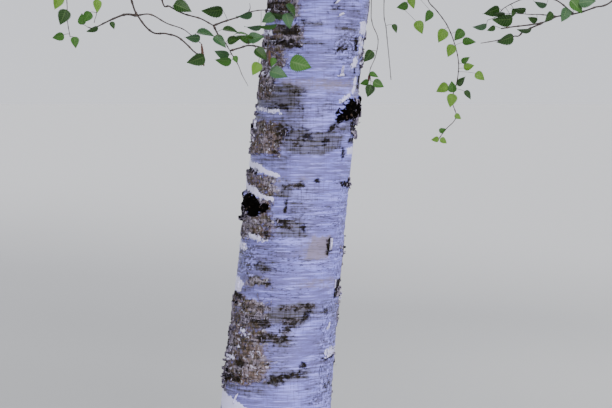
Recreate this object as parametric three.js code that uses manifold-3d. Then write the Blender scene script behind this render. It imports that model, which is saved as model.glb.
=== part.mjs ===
// A silver birch tree in spring leaf: one leaning trunk, slender boughs that rise and arch over,
// and a weeping mass of foliage at the end of each.
// Millimetres, +Z up. The origin is the middle of the flat cut under the trunk, at ground level.
// Seen from the front, along +Y, the trunk leans towards +X.
import * as THREE from "three";
import { mergeVertices } from "three/addons/utils/BufferGeometryUtils.js";
import Module from "manifold-3d";

const wasm = await Module();
wasm.setup();

const DEGREE = Math.PI / 180;
const UP = new THREE.Vector3(0, 0, 1);
const CLEARANCE = 0.3; // between pieces that meet
const SLIVER = 0.05; // faces thinner than this are merged away

// Trunk
const TREE_HEIGHT = 15000;
const TRUNK_LENGTH = 13700;
const TRUNK_RADIUS = 133; // at the ground, inside the root flare
const TRUNK_TIP_RADIUS = 14;
const TRUNK_TAPER = 0.75;
const TRUNK_SIDES = 15;
const TRUNK_STEPS = 24;
const STEP_CROWDING = 1.5; // rings stand closer together near the ground
const LEAN = 0.107; // sideways per unit of height, near the ground
const LEAN_HEIGHT = 6000; // above this the trunk has turned upright
const SWAY = 170;
const SWAY_LENGTH = 6800;
const FLARE = 55;
const FLARE_HEIGHT = 170;
const ROOT_LOBES = 5;
const LOBE_DEPTH = 0.32;

// Boughs
const MAIN_BOUGHS = 16;
const FIRST_MAIN_HEIGHT = 2750;
const LAST_MAIN_HEIGHT = 11300;
const FIRST_HEADING = 250 * DEGREE;
const GOLDEN_ANGLE = 137.508 * DEGREE;
const LOW_RISE = 38 * DEGREE;
const HIGH_RISE = 58 * DEGREE;
const LONG_BOUGH = 1250;
const SHORT_BOUGH = 380;
const LENGTH_FALL = 1.8; // boughs stay long through the middle of the crown
const ARCH = 10 * DEGREE; // how much a bough flattens along its length
const BOUGH_SHARE = 0.4; // bough radius at its foot, as a share of the trunk's there
const BOUGH_TIP_SHARE = 0.36;
const LEAST_BOUGH_TIP = 11;
const COLLAR_SWELL = 0.5;
const COLLAR_LENGTH = 0.07;
const BOUGH_SIDES = 6;
const BOUGH_STEPS = 4;

// The three short boughs below the crown, whose shoots hang lowest
const LOW_BOUGHS = [
  { height: 2080, heading: 212 * DEGREE, rise: 34 * DEGREE, length: 720 },
  { height: 2300, heading: 348 * DEGREE, rise: 30 * DEGREE, length: 900 },
  { height: 2560, heading: 62 * DEGREE, rise: 32 * DEGREE, length: 1250 },
];
const LOW_BOUGH_SHARE = 0.17;

// Side shoots that leave the top of the trunk without a bough
const TOP_SHOOTS = 4;
const TOP_SHOOTS_START = 11900;
const TOP_SHOOTS_END = 13300;
const LONG_TOP_STEM = 950;
const SHORT_TOP_STEM = 700;
const TOP_HANG = 0.5; // the top of the crown hangs less
const TOP_STEM_RADIUS = 12;
const LEADER_HANG = 0.1;
const LEADER_HEADING = 100 * DEGREE;
const LEADER_RISE = 90 * DEGREE;
const LEADER_SHARE = 0.92; // the last leaves stand a little above the leader's own end

// Masses of foliage
const LONG_STEM = 1950; // how far a mass's stem runs out before it hangs
const SHORT_STEM = 900;
const LOW_STEM_SHARE = 0.6; // of its bough's length, on the low boughs
const SMALL_STEM = 700; // a mass with a shorter stem has fewer shoots
const STEM_CARRY = 0.4;
const STEM_DROP = 0.55;
const STEM_STEPS = 5;
const STEM_LEAVES = [0.5, 1.5, 2.5, 3.5]; // side leaves' places along a twig, counted in its steps
const BRANCH_SPREAD = 48 * DEGREE;
const BRANCH_SPREAD_RANGE = 22 * DEGREE;
const BRANCH_RISE = 18 * DEGREE;
const UPRIGHT_RISE = 20 * DEGREE; // added where a mass hangs less
const BRANCH_OUT = 0.6;
const BRANCH_SHRINK = 0.12; // each branch is that much shorter than the one before it
const BRANCH_CARRY = 0.35;
const BRANCH_DROP = 0.6;
const BRANCH_STEPS = 2;
const BRANCH_LEAVES = [1.3];
const BRANCH_RADIUS = 10;
const ROOT_RADIUS = 3; // of a twig's or leaf's foot, sunk in what carries it
const SHOOT_OUT = 0.17;
const SHOOT_RISE = 12 * DEGREE;
const SHOOT_TURN = 60 * DEGREE;
const SHOOT_DROP = 0.75;
const SHOOT_STEPS = 2;
const SHOOT_LEAVES = [1.1];
const SHOOT_RADIUS = 8;
const TIP_RADIUS = 5;
const STEM_TIP_RADIUS = 8;
const LOWEST_TIP = 1650; // the foliage stops here, apart from the low shoots
const SITE_OUT = 0.8; // the middle of a mass's space, along its stem's aim
const SITE_DROP = 0.35; // and below it

// The low shoots: long twigs that sweep down from the low boughs, to either side of the trunk
const LOW_SHOOT_STEPS = 4;
const LOW_SHOOT_LEAVES = [2.6, 3.3];
const LOW_SHOOTS = [
  { from: "low_foliage_1", bend: [-450, -300, 1290], end: [-189, -270, 1161] },
  { from: "low_foliage_1", bend: [-190, -290, 1150], end: [124, -265, 1165] },
  { from: "low_foliage_1", bend: [-230, -290, 1290], end: [-23, -255, 1088] },
  { from: "low_foliage_2", bend: [960, -240, 1440], end: [530, -250, 1180] },
  { from: "low_foliage_3", bend: [600, 1250, 2300], end: [571, 1250, 800] },
];

// Leaves: each stands for a spray
const LEAF_SHARE = 0.2; // of the length of its mass's stem
const LEAF_BASE = 190;
const LOW_LEAF = 130;
const LEAF_HALF_WIDTH = 0.33;
const LEAF_THICKNESS = 14;
const LEAF_WIDEST = 0.42;
const STALK_SHARE = 0.3; // a side leaf's own short twig, as a share of its length
const LEAF_LEAST_DIP = -40 * DEGREE;
const LEAF_MOST_DIP = -75 * DEGREE;
const LEAF_ROLL = 100 * DEGREE;
const LEAF_ATTEMPTS = 8;

// How far pieces keep from what they may not touch
const LIMB_MARGIN = 12;
const CELL_MARGIN = 4;
const HEIGHT_WEIGHT = 0.6; // a mass's space is taller than it is wide

// A repeatable number from 0 to 1 for a plant part's own pair of counts.
function chance(first, second) {
  const wave = Math.sin(first * 12.9898 + second * 78.233) * 43758.5453;
  return wave - Math.floor(wave);
}

const mix = THREE.MathUtils.lerp;

function aim(heading, rise) {
  return new THREE.Vector3(
    Math.cos(heading) * Math.cos(rise),
    Math.sin(heading) * Math.cos(rise),
    Math.sin(rise),
  );
}

// A curve that sets out along one direction and then hangs: it makes for a point `out` along its aim,
// and bends over towards an end that is `carry` further on and `drop` lower.
function weepingPath(start, heading, rise, out, carry, drop, steps) {
  const bend = start.clone().addScaledVector(aim(heading, rise), out);
  const end = bend.clone().addScaledVector(aim(heading, 0), carry).addScaledVector(UP, -drop);
  return layPath(new THREE.QuadraticBezierCurve3(start, bend, end), heading, steps);
}

// A path is the row of rings' places along a curve, each with the curve's direction there.
function layPath(curve, heading, steps) {
  const directions = Array.from({ length: steps + 1 }, (_, step) => curve.getTangent(step / steps));
  return { heading, points: curve.getPoints(steps), directions };
}

// A ring stands square to its direction. It can be wider than it is thick, and rolled.
function ringAt(centre, direction, heading, wide, thick = wide, roll = 0) {
  const across = aim(heading + 90 * DEGREE, 0);
  const side = across.addScaledVector(direction, -across.dot(direction)).normalize();
  side.applyAxisAngle(direction, roll);
  return { centre, side, face: side.clone().cross(direction), wide, thick };
}

function ringsAlong({ heading, points, directions }, radiusAt) {
  const steps = points.length - 1;
  return points.map((point, step) => ringAt(point, directions[step], heading, radiusAt(step / steps)));
}

// A closed tube through a row of rings: a unit cylinder whose every level is moved to its ring.
// A last ring of no width makes it a cone, which ends in a point.
function tube(rings, sides) {
  const steps = rings.length - 1;
  const topRadius = rings[steps].wide > 0 ? 1 : 0;
  const geometry = new THREE.CylinderGeometry(topRadius, 1, 1, sides, steps);
  const position = geometry.getAttribute("position");
  for (let i = 0; i < position.count; i++) {
    const ring = rings[Math.round((position.getY(i) + 0.5) * steps)];
    const middle = Math.hypot(position.getX(i), position.getZ(i)) < 1e-6;
    const angle = Math.atan2(position.getX(i), position.getZ(i));
    const corner = ring.centre.clone();
    if (!middle) corner.addScaledVector(ring.side, Math.sin(angle) * ring.wide);
    if (!middle) corner.addScaledVector(ring.face, Math.cos(angle) * ring.thick);
    position.setXYZ(i, corner.x, corner.y, corner.z);
  }
  return geometry;
}

function solid(geometry) {
  const bare = geometry.clone();
  bare.deleteAttribute("normal");
  bare.deleteAttribute("uv");
  const merged = mergeVertices(bare, 1e-3);
  const mesh = new wasm.Mesh({
    numProp: 3,
    vertProperties: new Float32Array(merged.attributes.position.array),
    triVerts: new Uint32Array(merged.index.array),
  });
  return new wasm.Manifold(mesh);
}

// The largest single body of a solid: loose scraps and sealed hollows are left out.
function mainBody(made) {
  const bodies = made.decompose();
  return bodies.reduce((best, body) => (body.volume() > best.volume() ? body : best)).simplify(SLIVER);
}

function meshOf(name, made, material) {
  const data = made.getMesh();
  const geometry = new THREE.BufferGeometry();
  geometry.setAttribute("position", new THREE.BufferAttribute(data.vertProperties, data.numProp));
  geometry.setIndex(new THREE.BufferAttribute(data.triVerts, 1));
  geometry.computeVertexNormals();
  const mesh = new THREE.Mesh(geometry, material);
  mesh.name = name;
  return mesh;
}

// The middle of the trunk at a height: it leans, turns upright, and sways a little more the higher it goes.
function trunkCentre(height) {
  const sway = SWAY * (height / TREE_HEIGHT) ** 1.5;
  const turn = (2 * Math.PI * height) / SWAY_LENGTH;
  return new THREE.Vector3(
    LEAN * LEAN_HEIGHT * Math.tanh(height / LEAN_HEIGHT) + sway * Math.sin(turn),
    sway * Math.cos(turn),
    height,
  );
}

function trunkRadius(height) {
  const left = Math.max(1 - height / TRUNK_LENGTH, 0);
  return TRUNK_TIP_RADIUS + (TRUNK_RADIUS - TRUNK_TIP_RADIUS) * left ** TRUNK_TAPER;
}

function rootFlare(height, angle) {
  return FLARE * Math.exp(-height / FLARE_HEIGHT) * (1 + LOBE_DEPTH * Math.cos(ROOT_LOBES * angle));
}

// The trunk, with level rings, so that its foot is a flat cut. `extra` makes it thicker and taller.
function trunkSolid(extra) {
  const geometry = new THREE.CylinderGeometry(1, 1, 1, TRUNK_SIDES, TRUNK_STEPS);
  const position = geometry.getAttribute("position");
  for (let i = 0; i < position.count; i++) {
    const height = (TRUNK_LENGTH + extra) * (position.getY(i) + 0.5) ** STEP_CROWDING;
    const x = position.getX(i);
    const y = -position.getZ(i);
    const radius = trunkRadius(height) + rootFlare(height, Math.atan2(y, x)) + extra;
    const centre = trunkCentre(height);
    position.setXYZ(i, centre.x + x * radius, centre.y + y * radius, height);
  }
  return solid(geometry);
}

// A bough starts on the trunk's centre line, and its foot is cut to the bark afterwards.
function planBough(name, height, heading, rise, length, share) {
  const start = trunkCentre(height);
  const bend = start.clone().addScaledVector(aim(heading, rise), length / 2);
  const end = bend.clone().addScaledVector(aim(heading, rise - ARCH), length / 2);
  const path = layPath(new THREE.QuadraticBezierCurve3(start, bend, end), heading, BOUGH_STEPS);
  const radius = share * trunkRadius(height);
  const tipRadius = Math.max(radius * BOUGH_TIP_SHARE, LEAST_BOUGH_TIP);
  return { ...path, name, tipRise: rise - ARCH, radius, tipRadius };
}

function boughRadiusAt(bough, share) {
  const collar = 1 + COLLAR_SWELL * Math.exp(-share / COLLAR_LENGTH);
  return mix(bough.radius, bough.tipRadius, share) * collar;
}

function planBoughs() {
  const low = LOW_BOUGHS.map((b, i) => ({
    ...planBough(`low_bough_${i + 1}`, b.height, b.heading, b.rise, b.length, LOW_BOUGH_SHARE),
    stem: b.length * LOW_STEM_SHARE,
  }));
  const main = [];
  for (let i = 0; i < MAIN_BOUGHS; i++) {
    const share = i / (MAIN_BOUGHS - 1);
    const height = mix(FIRST_MAIN_HEIGHT, LAST_MAIN_HEIGHT, share);
    const heading = FIRST_HEADING + i * GOLDEN_ANGLE;
    const rise = mix(LOW_RISE, HIGH_RISE, share);
    const length = mix(LONG_BOUGH, SHORT_BOUGH, share ** LENGTH_FALL) * mix(0.88, 1.12, chance(i, 1));
    const name = `bough_${String(i + 1).padStart(2, "0")}`;
    const stem = mix(LONG_STEM, SHORT_STEM, share ** LENGTH_FALL);
    main.push({ ...planBough(name, height, heading, rise, length, BOUGH_SHARE), stem });
  }
  return [...low, ...main];
}

// Where each mass of foliage starts, which way it sets out, and how far it runs.
function planMasses(boughs) {
  const masses = boughs.map((bough, i) => ({
    name: bough.name.replace("bough", "foliage"),
    seed: i + 1,
    start: bough.points[BOUGH_STEPS],
    heading: bough.heading,
    rise: bough.tipRise,
    out: bough.stem,
    hang: 1,
    radius: bough.tipRadius,
  }));
  for (let i = 0; i < TOP_SHOOTS; i++) {
    const height = mix(TOP_SHOOTS_START, TOP_SHOOTS_END, i / (TOP_SHOOTS - 1));
    masses.push({
      name: `foliage_top_${i + 1}`,
      seed: boughs.length + i + 1,
      start: trunkCentre(height),
      heading: FIRST_HEADING + (MAIN_BOUGHS + i) * GOLDEN_ANGLE,
      rise: HIGH_RISE,
      out: mix(LONG_TOP_STEM, SHORT_TOP_STEM, i / (TOP_SHOOTS - 1)),
      hang: TOP_HANG,
      radius: TOP_STEM_RADIUS,
    });
  }
  masses.push({
    name: "foliage_crown_tip",
    seed: boughs.length + TOP_SHOOTS + 1,
    start: trunkCentre(TRUNK_LENGTH),
    heading: LEADER_HEADING,
    rise: LEADER_RISE,
    out: (TREE_HEIGHT - TRUNK_LENGTH) * LEADER_SHARE,
    hang: LEADER_HANG,
    radius: TRUNK_TIP_RADIUS,
  });
  for (const mass of masses) {
    mass.small = mass.out < SMALL_STEM;
    const middle = mass.start.clone().addScaledVector(aim(mass.heading, mass.rise), mass.out * SITE_OUT);
    mass.site = middle.addScaledVector(UP, -mass.out * SITE_DROP);
  }
  return masses;
}

const boughs = planBoughs();
const masses = planMasses(boughs);

// True if a point lies in the mass's own space: nearer to its site than to any other's, with a little room.
function inSpace(mass, point) {
  return masses.every((other) => {
    if (other === mass) return true;
    const apart = other.site.clone().sub(mass.site);
    const offset = point.clone().sub(mass.site.clone().add(other.site).multiplyScalar(0.5));
    apart.z *= HEIGHT_WEIGHT ** 2;
    return offset.dot(apart) / apart.length() < -CELL_MARGIN;
  });
}

function distanceToPath(point, points) {
  let least = Infinity;
  const nearest = new THREE.Vector3();
  for (let i = 0; i + 1 < points.length; i++) {
    new THREE.Line3(points[i], points[i + 1]).closestPointToPoint(point, true, nearest);
    least = Math.min(least, nearest.distanceTo(point));
  }
  return least;
}

// True if a point stands clear of the trunk and of every bough.
function clearOfLimbs(point) {
  if (point.z < TRUNK_LENGTH + LIMB_MARGIN) {
    const centre = trunkCentre(point.z);
    const away = Math.hypot(point.x - centre.x, point.y - centre.y);
    if (away < trunkRadius(point.z) + LIMB_MARGIN) return false;
  }
  return boughs.every((bough) => distanceToPath(point, bough.points) > bough.radius + LIMB_MARGIN);
}

function between(a, b, count) {
  return Array.from({ length: count + 1 }, (_, i) => a.clone().lerp(b, i / count));
}

// A twig may stand if all of it lies in its mass's space and touches no limb.
function pathFits(mass, points) {
  const samples = points.slice(1).flatMap((end, i) => between(points[i], end, 4));
  return samples.every((p) => inSpace(mass, p)) && samples.slice(1).every(clearOfLimbs);
}

// The rings of a leaf beyond its root: a flat blade, widest before its middle, drawn out to a point.
function leafRings(root, { heading, dip, roll, size }) {
  const along = aim(heading, dip);
  const middle = root.clone().addScaledVector(along, LEAF_WIDEST * size);
  const end = root.clone().addScaledVector(along, size);
  const wide = (LEAF_HALF_WIDTH * size) / Math.sin(120 * DEGREE);
  const thick = LEAF_THICKNESS / 1.5;
  return [ringAt(middle, along, heading, wide, thick, roll), ringAt(end, along, heading, 0)];
}

// The short twig that holds a side leaf out level from its root.
function stalkRings(root, { heading, size }) {
  const out = aim(heading, 0);
  const end = root.clone().addScaledVector(out, STALK_SHARE * size);
  return [ringAt(root, out, heading, ROOT_RADIUS), ringAt(end, out, heading, ROOT_RADIUS)];
}

// A leaf may stand if its corners lie in its mass's space and no line out to them touches a limb.
function leafFits(mass, root, [middle, end]) {
  const left = middle.centre.clone().addScaledVector(middle.side, middle.wide);
  const right = middle.centre.clone().addScaledVector(middle.side, -middle.wide);
  const corners = [left, right, middle.centre, end.centre];
  return corners.every((c) => inSpace(mass, c) && between(root, c, 3).slice(1).every(clearOfLimbs));
}

// The twigs of one mass: a stem that arches over, branches to either side of it, and shoots that hang
// from both.
function planTwigs(mass) {
  const start = mass.start.clone().addScaledVector(aim(mass.heading, mass.rise), CLEARANCE);
  const drop = mass.out * mass.hang * STEM_DROP;
  const carry = mass.out * mass.hang * STEM_CARRY;
  const stem = weepingPath(start, mass.heading, mass.rise, mass.out, carry, drop, STEM_STEPS);
  const leaf = LEAF_SHARE * mass.out + LEAF_BASE;
  const { radius } = mass;
  const twigs = [{ ...stem, foot: radius, radius, tip: STEM_TIP_RADIUS, leaves: STEM_LEAVES, leaf }];
  const grow = (path, twigRadius, leaves, size = leaf) => {
    twigs.push({ ...path, foot: ROOT_RADIUS, radius: twigRadius, tip: TIP_RADIUS, leaves, leaf: size });
  };
  const shoot = (base, heading, index) => {
    const reach = mass.out * mix(0.8, 1.3, chance(mass.seed, index));
    const fall = Math.min(reach * SHOOT_DROP * mass.hang, Math.max(base.z - LOWEST_TIP, 0));
    const path = weepingPath(base, heading, SHOOT_RISE, reach * SHOOT_OUT, 0, fall, SHOOT_STEPS);
    grow(path, SHOOT_RADIUS, SHOOT_LEAVES);
  };
  for (let k = 1; k < STEM_STEPS; k++) {
    const side = k % 2 ? 1 : -1;
    const heading = mass.heading + side * (BRANCH_SPREAD + BRANCH_SPREAD_RANGE * chance(mass.seed, 10 * k));
    const shrink = 1 - BRANCH_SHRINK * (k - 1);
    const out = mass.out * BRANCH_OUT * shrink * mix(0.85, 1.15, chance(mass.seed, 10 * k + 1));
    const fall = Math.min(mass.out * mass.hang * BRANCH_DROP, Math.max(stem.points[k].z - LOWEST_TIP, 0));
    const rise = BRANCH_RISE + UPRIGHT_RISE * (1 - mass.hang);
    const branch = weepingPath(stem.points[k], heading, rise, out, out * BRANCH_CARRY, fall, BRANCH_STEPS);
    grow(branch, BRANCH_RADIUS, BRANCH_LEAVES);
    if (k > 1 && !mass.small) shoot(branch.points[1], heading - side * SHOOT_TURN, 10 * k + 2);
  }
  if (!mass.small) shoot(stem.points[1], mass.heading - SHOOT_TURN, 70);
  for (const { bend, end } of LOW_SHOOTS.filter(({ from }) => from === mass.name)) {
    const corners = [stem.points[1], new THREE.Vector3(...bend), new THREE.Vector3(...end)];
    const curve = new THREE.QuadraticBezierCurve3(...corners);
    grow(layPath(curve, mass.heading, LOW_SHOOT_STEPS), SHOOT_RADIUS, LOW_SHOOT_LEAVES, LOW_LEAF);
  }
  return twigs;
}

function growMass(mass) {
  const twigs = planTwigs(mass).filter((twig, i) => i === 0 || pathFits(mass, twig.points));
  const woodRings = twigs.map((twig) =>
    ringsAlong(twig, (share) => (share > 0 ? mix(twig.radius, twig.tip, share) : twig.foot)),
  );
  const wood = woodRings.map((rings) => solid(tube(rings, 3)));
  const blades = [];

  // The first lay of a leaf, out of a few tries, that fits in the mass and touches nothing there, apart
  // from the twig `t` if it ends that. `footOf` gives the rings before the blade.
  const layLeaf = (t, count, ends, footOf) => {
    for (let attempt = 0; attempt < LEAF_ATTEMPTS; attempt++) {
      const draw = (n) => chance(mass.seed + 0.3, 100 * t + 10 * count + 3 * attempt + n);
      const lay = {
        heading: twigs[t].heading + 360 * DEGREE * draw(0),
        dip: mix(LEAF_LEAST_DIP, LEAF_MOST_DIP, draw(1)),
        roll: (draw(2) - 0.5) * LEAF_ROLL,
        size: twigs[t].leaf * mix(0.85, 1.15, draw(0.5)),
      };
      const foot = footOf(lay);
      const root = foot.at(-1);
      const beyond = leafRings(root.centre, lay);
      if (!leafFits(mass, root.centre, beyond)) continue;
      const blade = solid(tube([root, ...beyond], 3));
      const near = [...wood.filter((_, i) => !(ends && i === t)), ...blades];
      if (near.every((other) => other.intersect(blade).volume() < 1)) return { foot, beyond, blade };
    }
    return null;
  };

  const pieces = [];
  twigs.forEach((twig, t) => {
    const found = layLeaf(t, 9, true, () => [woodRings[t].at(-1)]);
    if (found) blades.push(found.blade);
    pieces.push(solid(tube([...woodRings[t], ...(found ? found.beyond : [])], 3)));
  });
  twigs.forEach((twig, t) => {
    for (const step of twig.leaves) {
      const low = Math.floor(step);
      const root = twig.points[low].clone().lerp(twig.points[low + 1], step - low);
      const found = layLeaf(t, step, false, (lay) => stalkRings(root, lay));
      if (!found) continue;
      blades.push(found.blade);
      pieces.push(solid(tube([...found.foot, ...found.beyond], 3)));
    }
  });
  return mainBody(pieces.reduce((whole, piece) => whole.add(piece)));
}

const bark = new THREE.MeshStandardMaterial({ color: 0xc4c4d2, roughness: 0.75, metalness: 0 });
const boughBark = new THREE.MeshStandardMaterial({ color: 0x8d8489, roughness: 0.8, metalness: 0 });
const leafGreen = new THREE.MeshStandardMaterial({ color: 0x6c9a34, roughness: 0.55, metalness: 0 });

const tree = new THREE.Group();
tree.name = "silver_birch";
tree.add(meshOf("trunk", trunkSolid(0), bark));

const trunkRoom = trunkSolid(CLEARANCE);
for (const bough of boughs) {
  const shape = tube(ringsAlong(bough, (share) => boughRadiusAt(bough, share)), BOUGH_SIDES);
  const cut = mainBody(solid(shape).subtract(trunkRoom));
  tree.add(meshOf(bough.name, cut, boughBark));
}
for (const mass of masses) {
  const cut = mainBody(growMass(mass).subtract(trunkRoom));
  tree.add(meshOf(mass.name, cut, leafGreen));
}

export default tree;
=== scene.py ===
"""A silver birch tree in spring leaf: the bark, boughs, twigs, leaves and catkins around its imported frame.

Everything is in metres, +Z up, with the origin in the middle of the flat cut under the trunk. The trunk leans
towards +X, and its front faces -Y.
"""
import itertools
import math
from functools import partial

import bpy
import numpy as np
from bpy.props import FloatProperty, FloatVectorProperty, IntProperty, PointerProperty
from bpy.types import Operator, Panel, PropertyGroup
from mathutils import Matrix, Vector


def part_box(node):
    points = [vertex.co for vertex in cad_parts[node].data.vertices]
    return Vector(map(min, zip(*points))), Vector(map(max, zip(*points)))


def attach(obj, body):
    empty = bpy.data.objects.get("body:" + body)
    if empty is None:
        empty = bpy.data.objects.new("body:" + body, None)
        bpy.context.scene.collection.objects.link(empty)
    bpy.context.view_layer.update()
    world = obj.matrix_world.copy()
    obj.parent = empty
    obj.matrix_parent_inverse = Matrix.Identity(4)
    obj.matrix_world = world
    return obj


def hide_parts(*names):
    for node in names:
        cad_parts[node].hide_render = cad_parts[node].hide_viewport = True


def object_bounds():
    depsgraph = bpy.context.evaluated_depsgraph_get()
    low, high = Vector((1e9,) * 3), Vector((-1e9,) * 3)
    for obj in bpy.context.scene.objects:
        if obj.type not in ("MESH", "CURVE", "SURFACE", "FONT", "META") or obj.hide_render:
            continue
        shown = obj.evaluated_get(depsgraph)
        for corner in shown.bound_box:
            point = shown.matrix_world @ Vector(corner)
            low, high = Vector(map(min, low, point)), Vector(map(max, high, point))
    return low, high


bl_info = {
    "name": "Silver birch tree",
    "version": (1, 0, 0),
    "blender": (4, 5, 0),
    "location": "View3D > Sidebar > Birch",
    "description": "Grows the bark, twigs, leaves and catkins of a weeping silver birch",
    "category": "Object",
}

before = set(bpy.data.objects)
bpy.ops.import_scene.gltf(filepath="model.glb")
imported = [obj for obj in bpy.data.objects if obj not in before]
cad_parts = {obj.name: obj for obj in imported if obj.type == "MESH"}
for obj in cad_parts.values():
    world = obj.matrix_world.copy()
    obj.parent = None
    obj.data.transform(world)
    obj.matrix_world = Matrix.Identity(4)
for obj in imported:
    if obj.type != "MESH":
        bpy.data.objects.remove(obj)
CAD_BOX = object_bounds()

BODY = "root"
UP = np.array([0.0, 0.0, 1.0])
MM = 0.001

# Trunk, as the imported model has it
TREE_HEIGHT = 15.0
TRUNK_LENGTH = 13.7
TRUNK_RADIUS = 0.133
TRUNK_TIP_RADIUS = 0.014
TRUNK_TAPER = 0.75
LEAN = 0.107
LEAN_HEIGHT = 6.0
SWAY = 0.17
SWAY_LENGTH = 6.8
FLARE = 0.055
FLARE_HEIGHT = 0.17
ROOT_LOBES = 5
LOBE_DEPTH = 0.32

# Boughs
MAIN_BOUGHS = 16
FIRST_MAIN_HEIGHT = 2.75
LAST_MAIN_HEIGHT = 11.3
FIRST_HEADING = math.radians(250)
GOLDEN_ANGLE = math.radians(137.508)
LOW_RISE = math.radians(38)
HIGH_RISE = math.radians(58)
LONG_BOUGH = 1.25
SHORT_BOUGH = 0.38
LENGTH_FALL = 1.8
BOUGH_LENGTHS = (0.88, 1.12)
ARCH = math.radians(10)
BOUGH_SHARE = 0.4
BOUGH_TIP_SHARE = 0.36
LEAST_BOUGH_TIP = 0.011
COLLAR_SWELL = 0.5
COLLAR_LENGTH = 0.07
# Height on the trunk, heading and rise in degrees, and length of each bough below the crown
LOW_BOUGHS = ((2.08, 212, 34, 0.72), (2.3, 348, 30, 0.9), (2.56, 62, 32, 1.25))
LOW_BOUGH_SHARE = 0.17

# Thin boughs between those
MINOR_BOUGHS = 66
FIRST_MINOR_HEIGHT = 3.1
LAST_MINOR_HEIGHT = 13.1
LONG_MINOR = 1.5
SHORT_MINOR = 0.45
MINOR_LENGTHS = (0.7, 1.2)
MINOR_TURN = 0.5
MINOR_EXTRA_RISE = math.radians(6)
MINOR_CARRY = 0.45
MINOR_DROP = 0.2
MINOR_RADIUS_SHARE = 0.012
MINOR_TIP_RADIUS = 0.003

# Shoots at the top of the trunk
TOP_SHOOTS = 4
TOP_SHOOTS_START = 11.9
TOP_SHOOTS_END = 13.3
LONG_TOP_STEM = 0.95
SHORT_TOP_STEM = 0.7
TOP_HANG = 0.5
TOP_STEM_RADIUS = 0.012
LEADER_HANG = 0.1
LEADER_HEADING = math.radians(100)
LEADER_RISE = math.radians(90)
LEADER_SHARE = 0.92

# Masses of foliage
LONG_STEM = 1.95
SHORT_STEM = 0.9
LOW_STEM_SHARE = 0.6
SMALL_STEM = 0.7
STEM_CARRY = 0.4
STEM_DROP = 0.55
STEM_TIP = 0.7
STEM_BRANCHES = 4
BRANCH_SPREAD = math.radians(48)
BRANCH_SPREAD_RANGE = math.radians(22)
BRANCH_RISE = math.radians(18)
UPRIGHT_RISE = math.radians(20)
BRANCH_OUT = 0.6
BRANCH_LENGTHS = (0.85, 1.15)
BRANCH_SHRINK = 0.12
BRANCH_CARRY = 0.35
BRANCH_DROP = 0.6
BRANCH_RADIUS = 0.0065
BRANCH_TIP_SHARE = 0.35
SHOOT_LENGTHS = (0.8, 1.3)
SHOOT_OUT = 0.17
SHOOT_RISE = math.radians(12)
SHOOT_TURN = math.radians(60)
SHOOT_DROP = 0.75
SHOOT_RADIUS = 0.004
SHOOT_TIP_SHARE = 0.4
LOWEST_TIP = 1.65

# How the bark and the crown's limbs are divided
LOWER_TRUNK_TOP = 1.45
LOWER_COLUMNS = 248
LOWER_ROWS = 396
UPPER_COLUMNS = 96
UPPER_ROWS = 1020
BOUGH_COLUMNS = 16
BOUGH_ROWS = 44
LIMB_STEPS = 18

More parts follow.
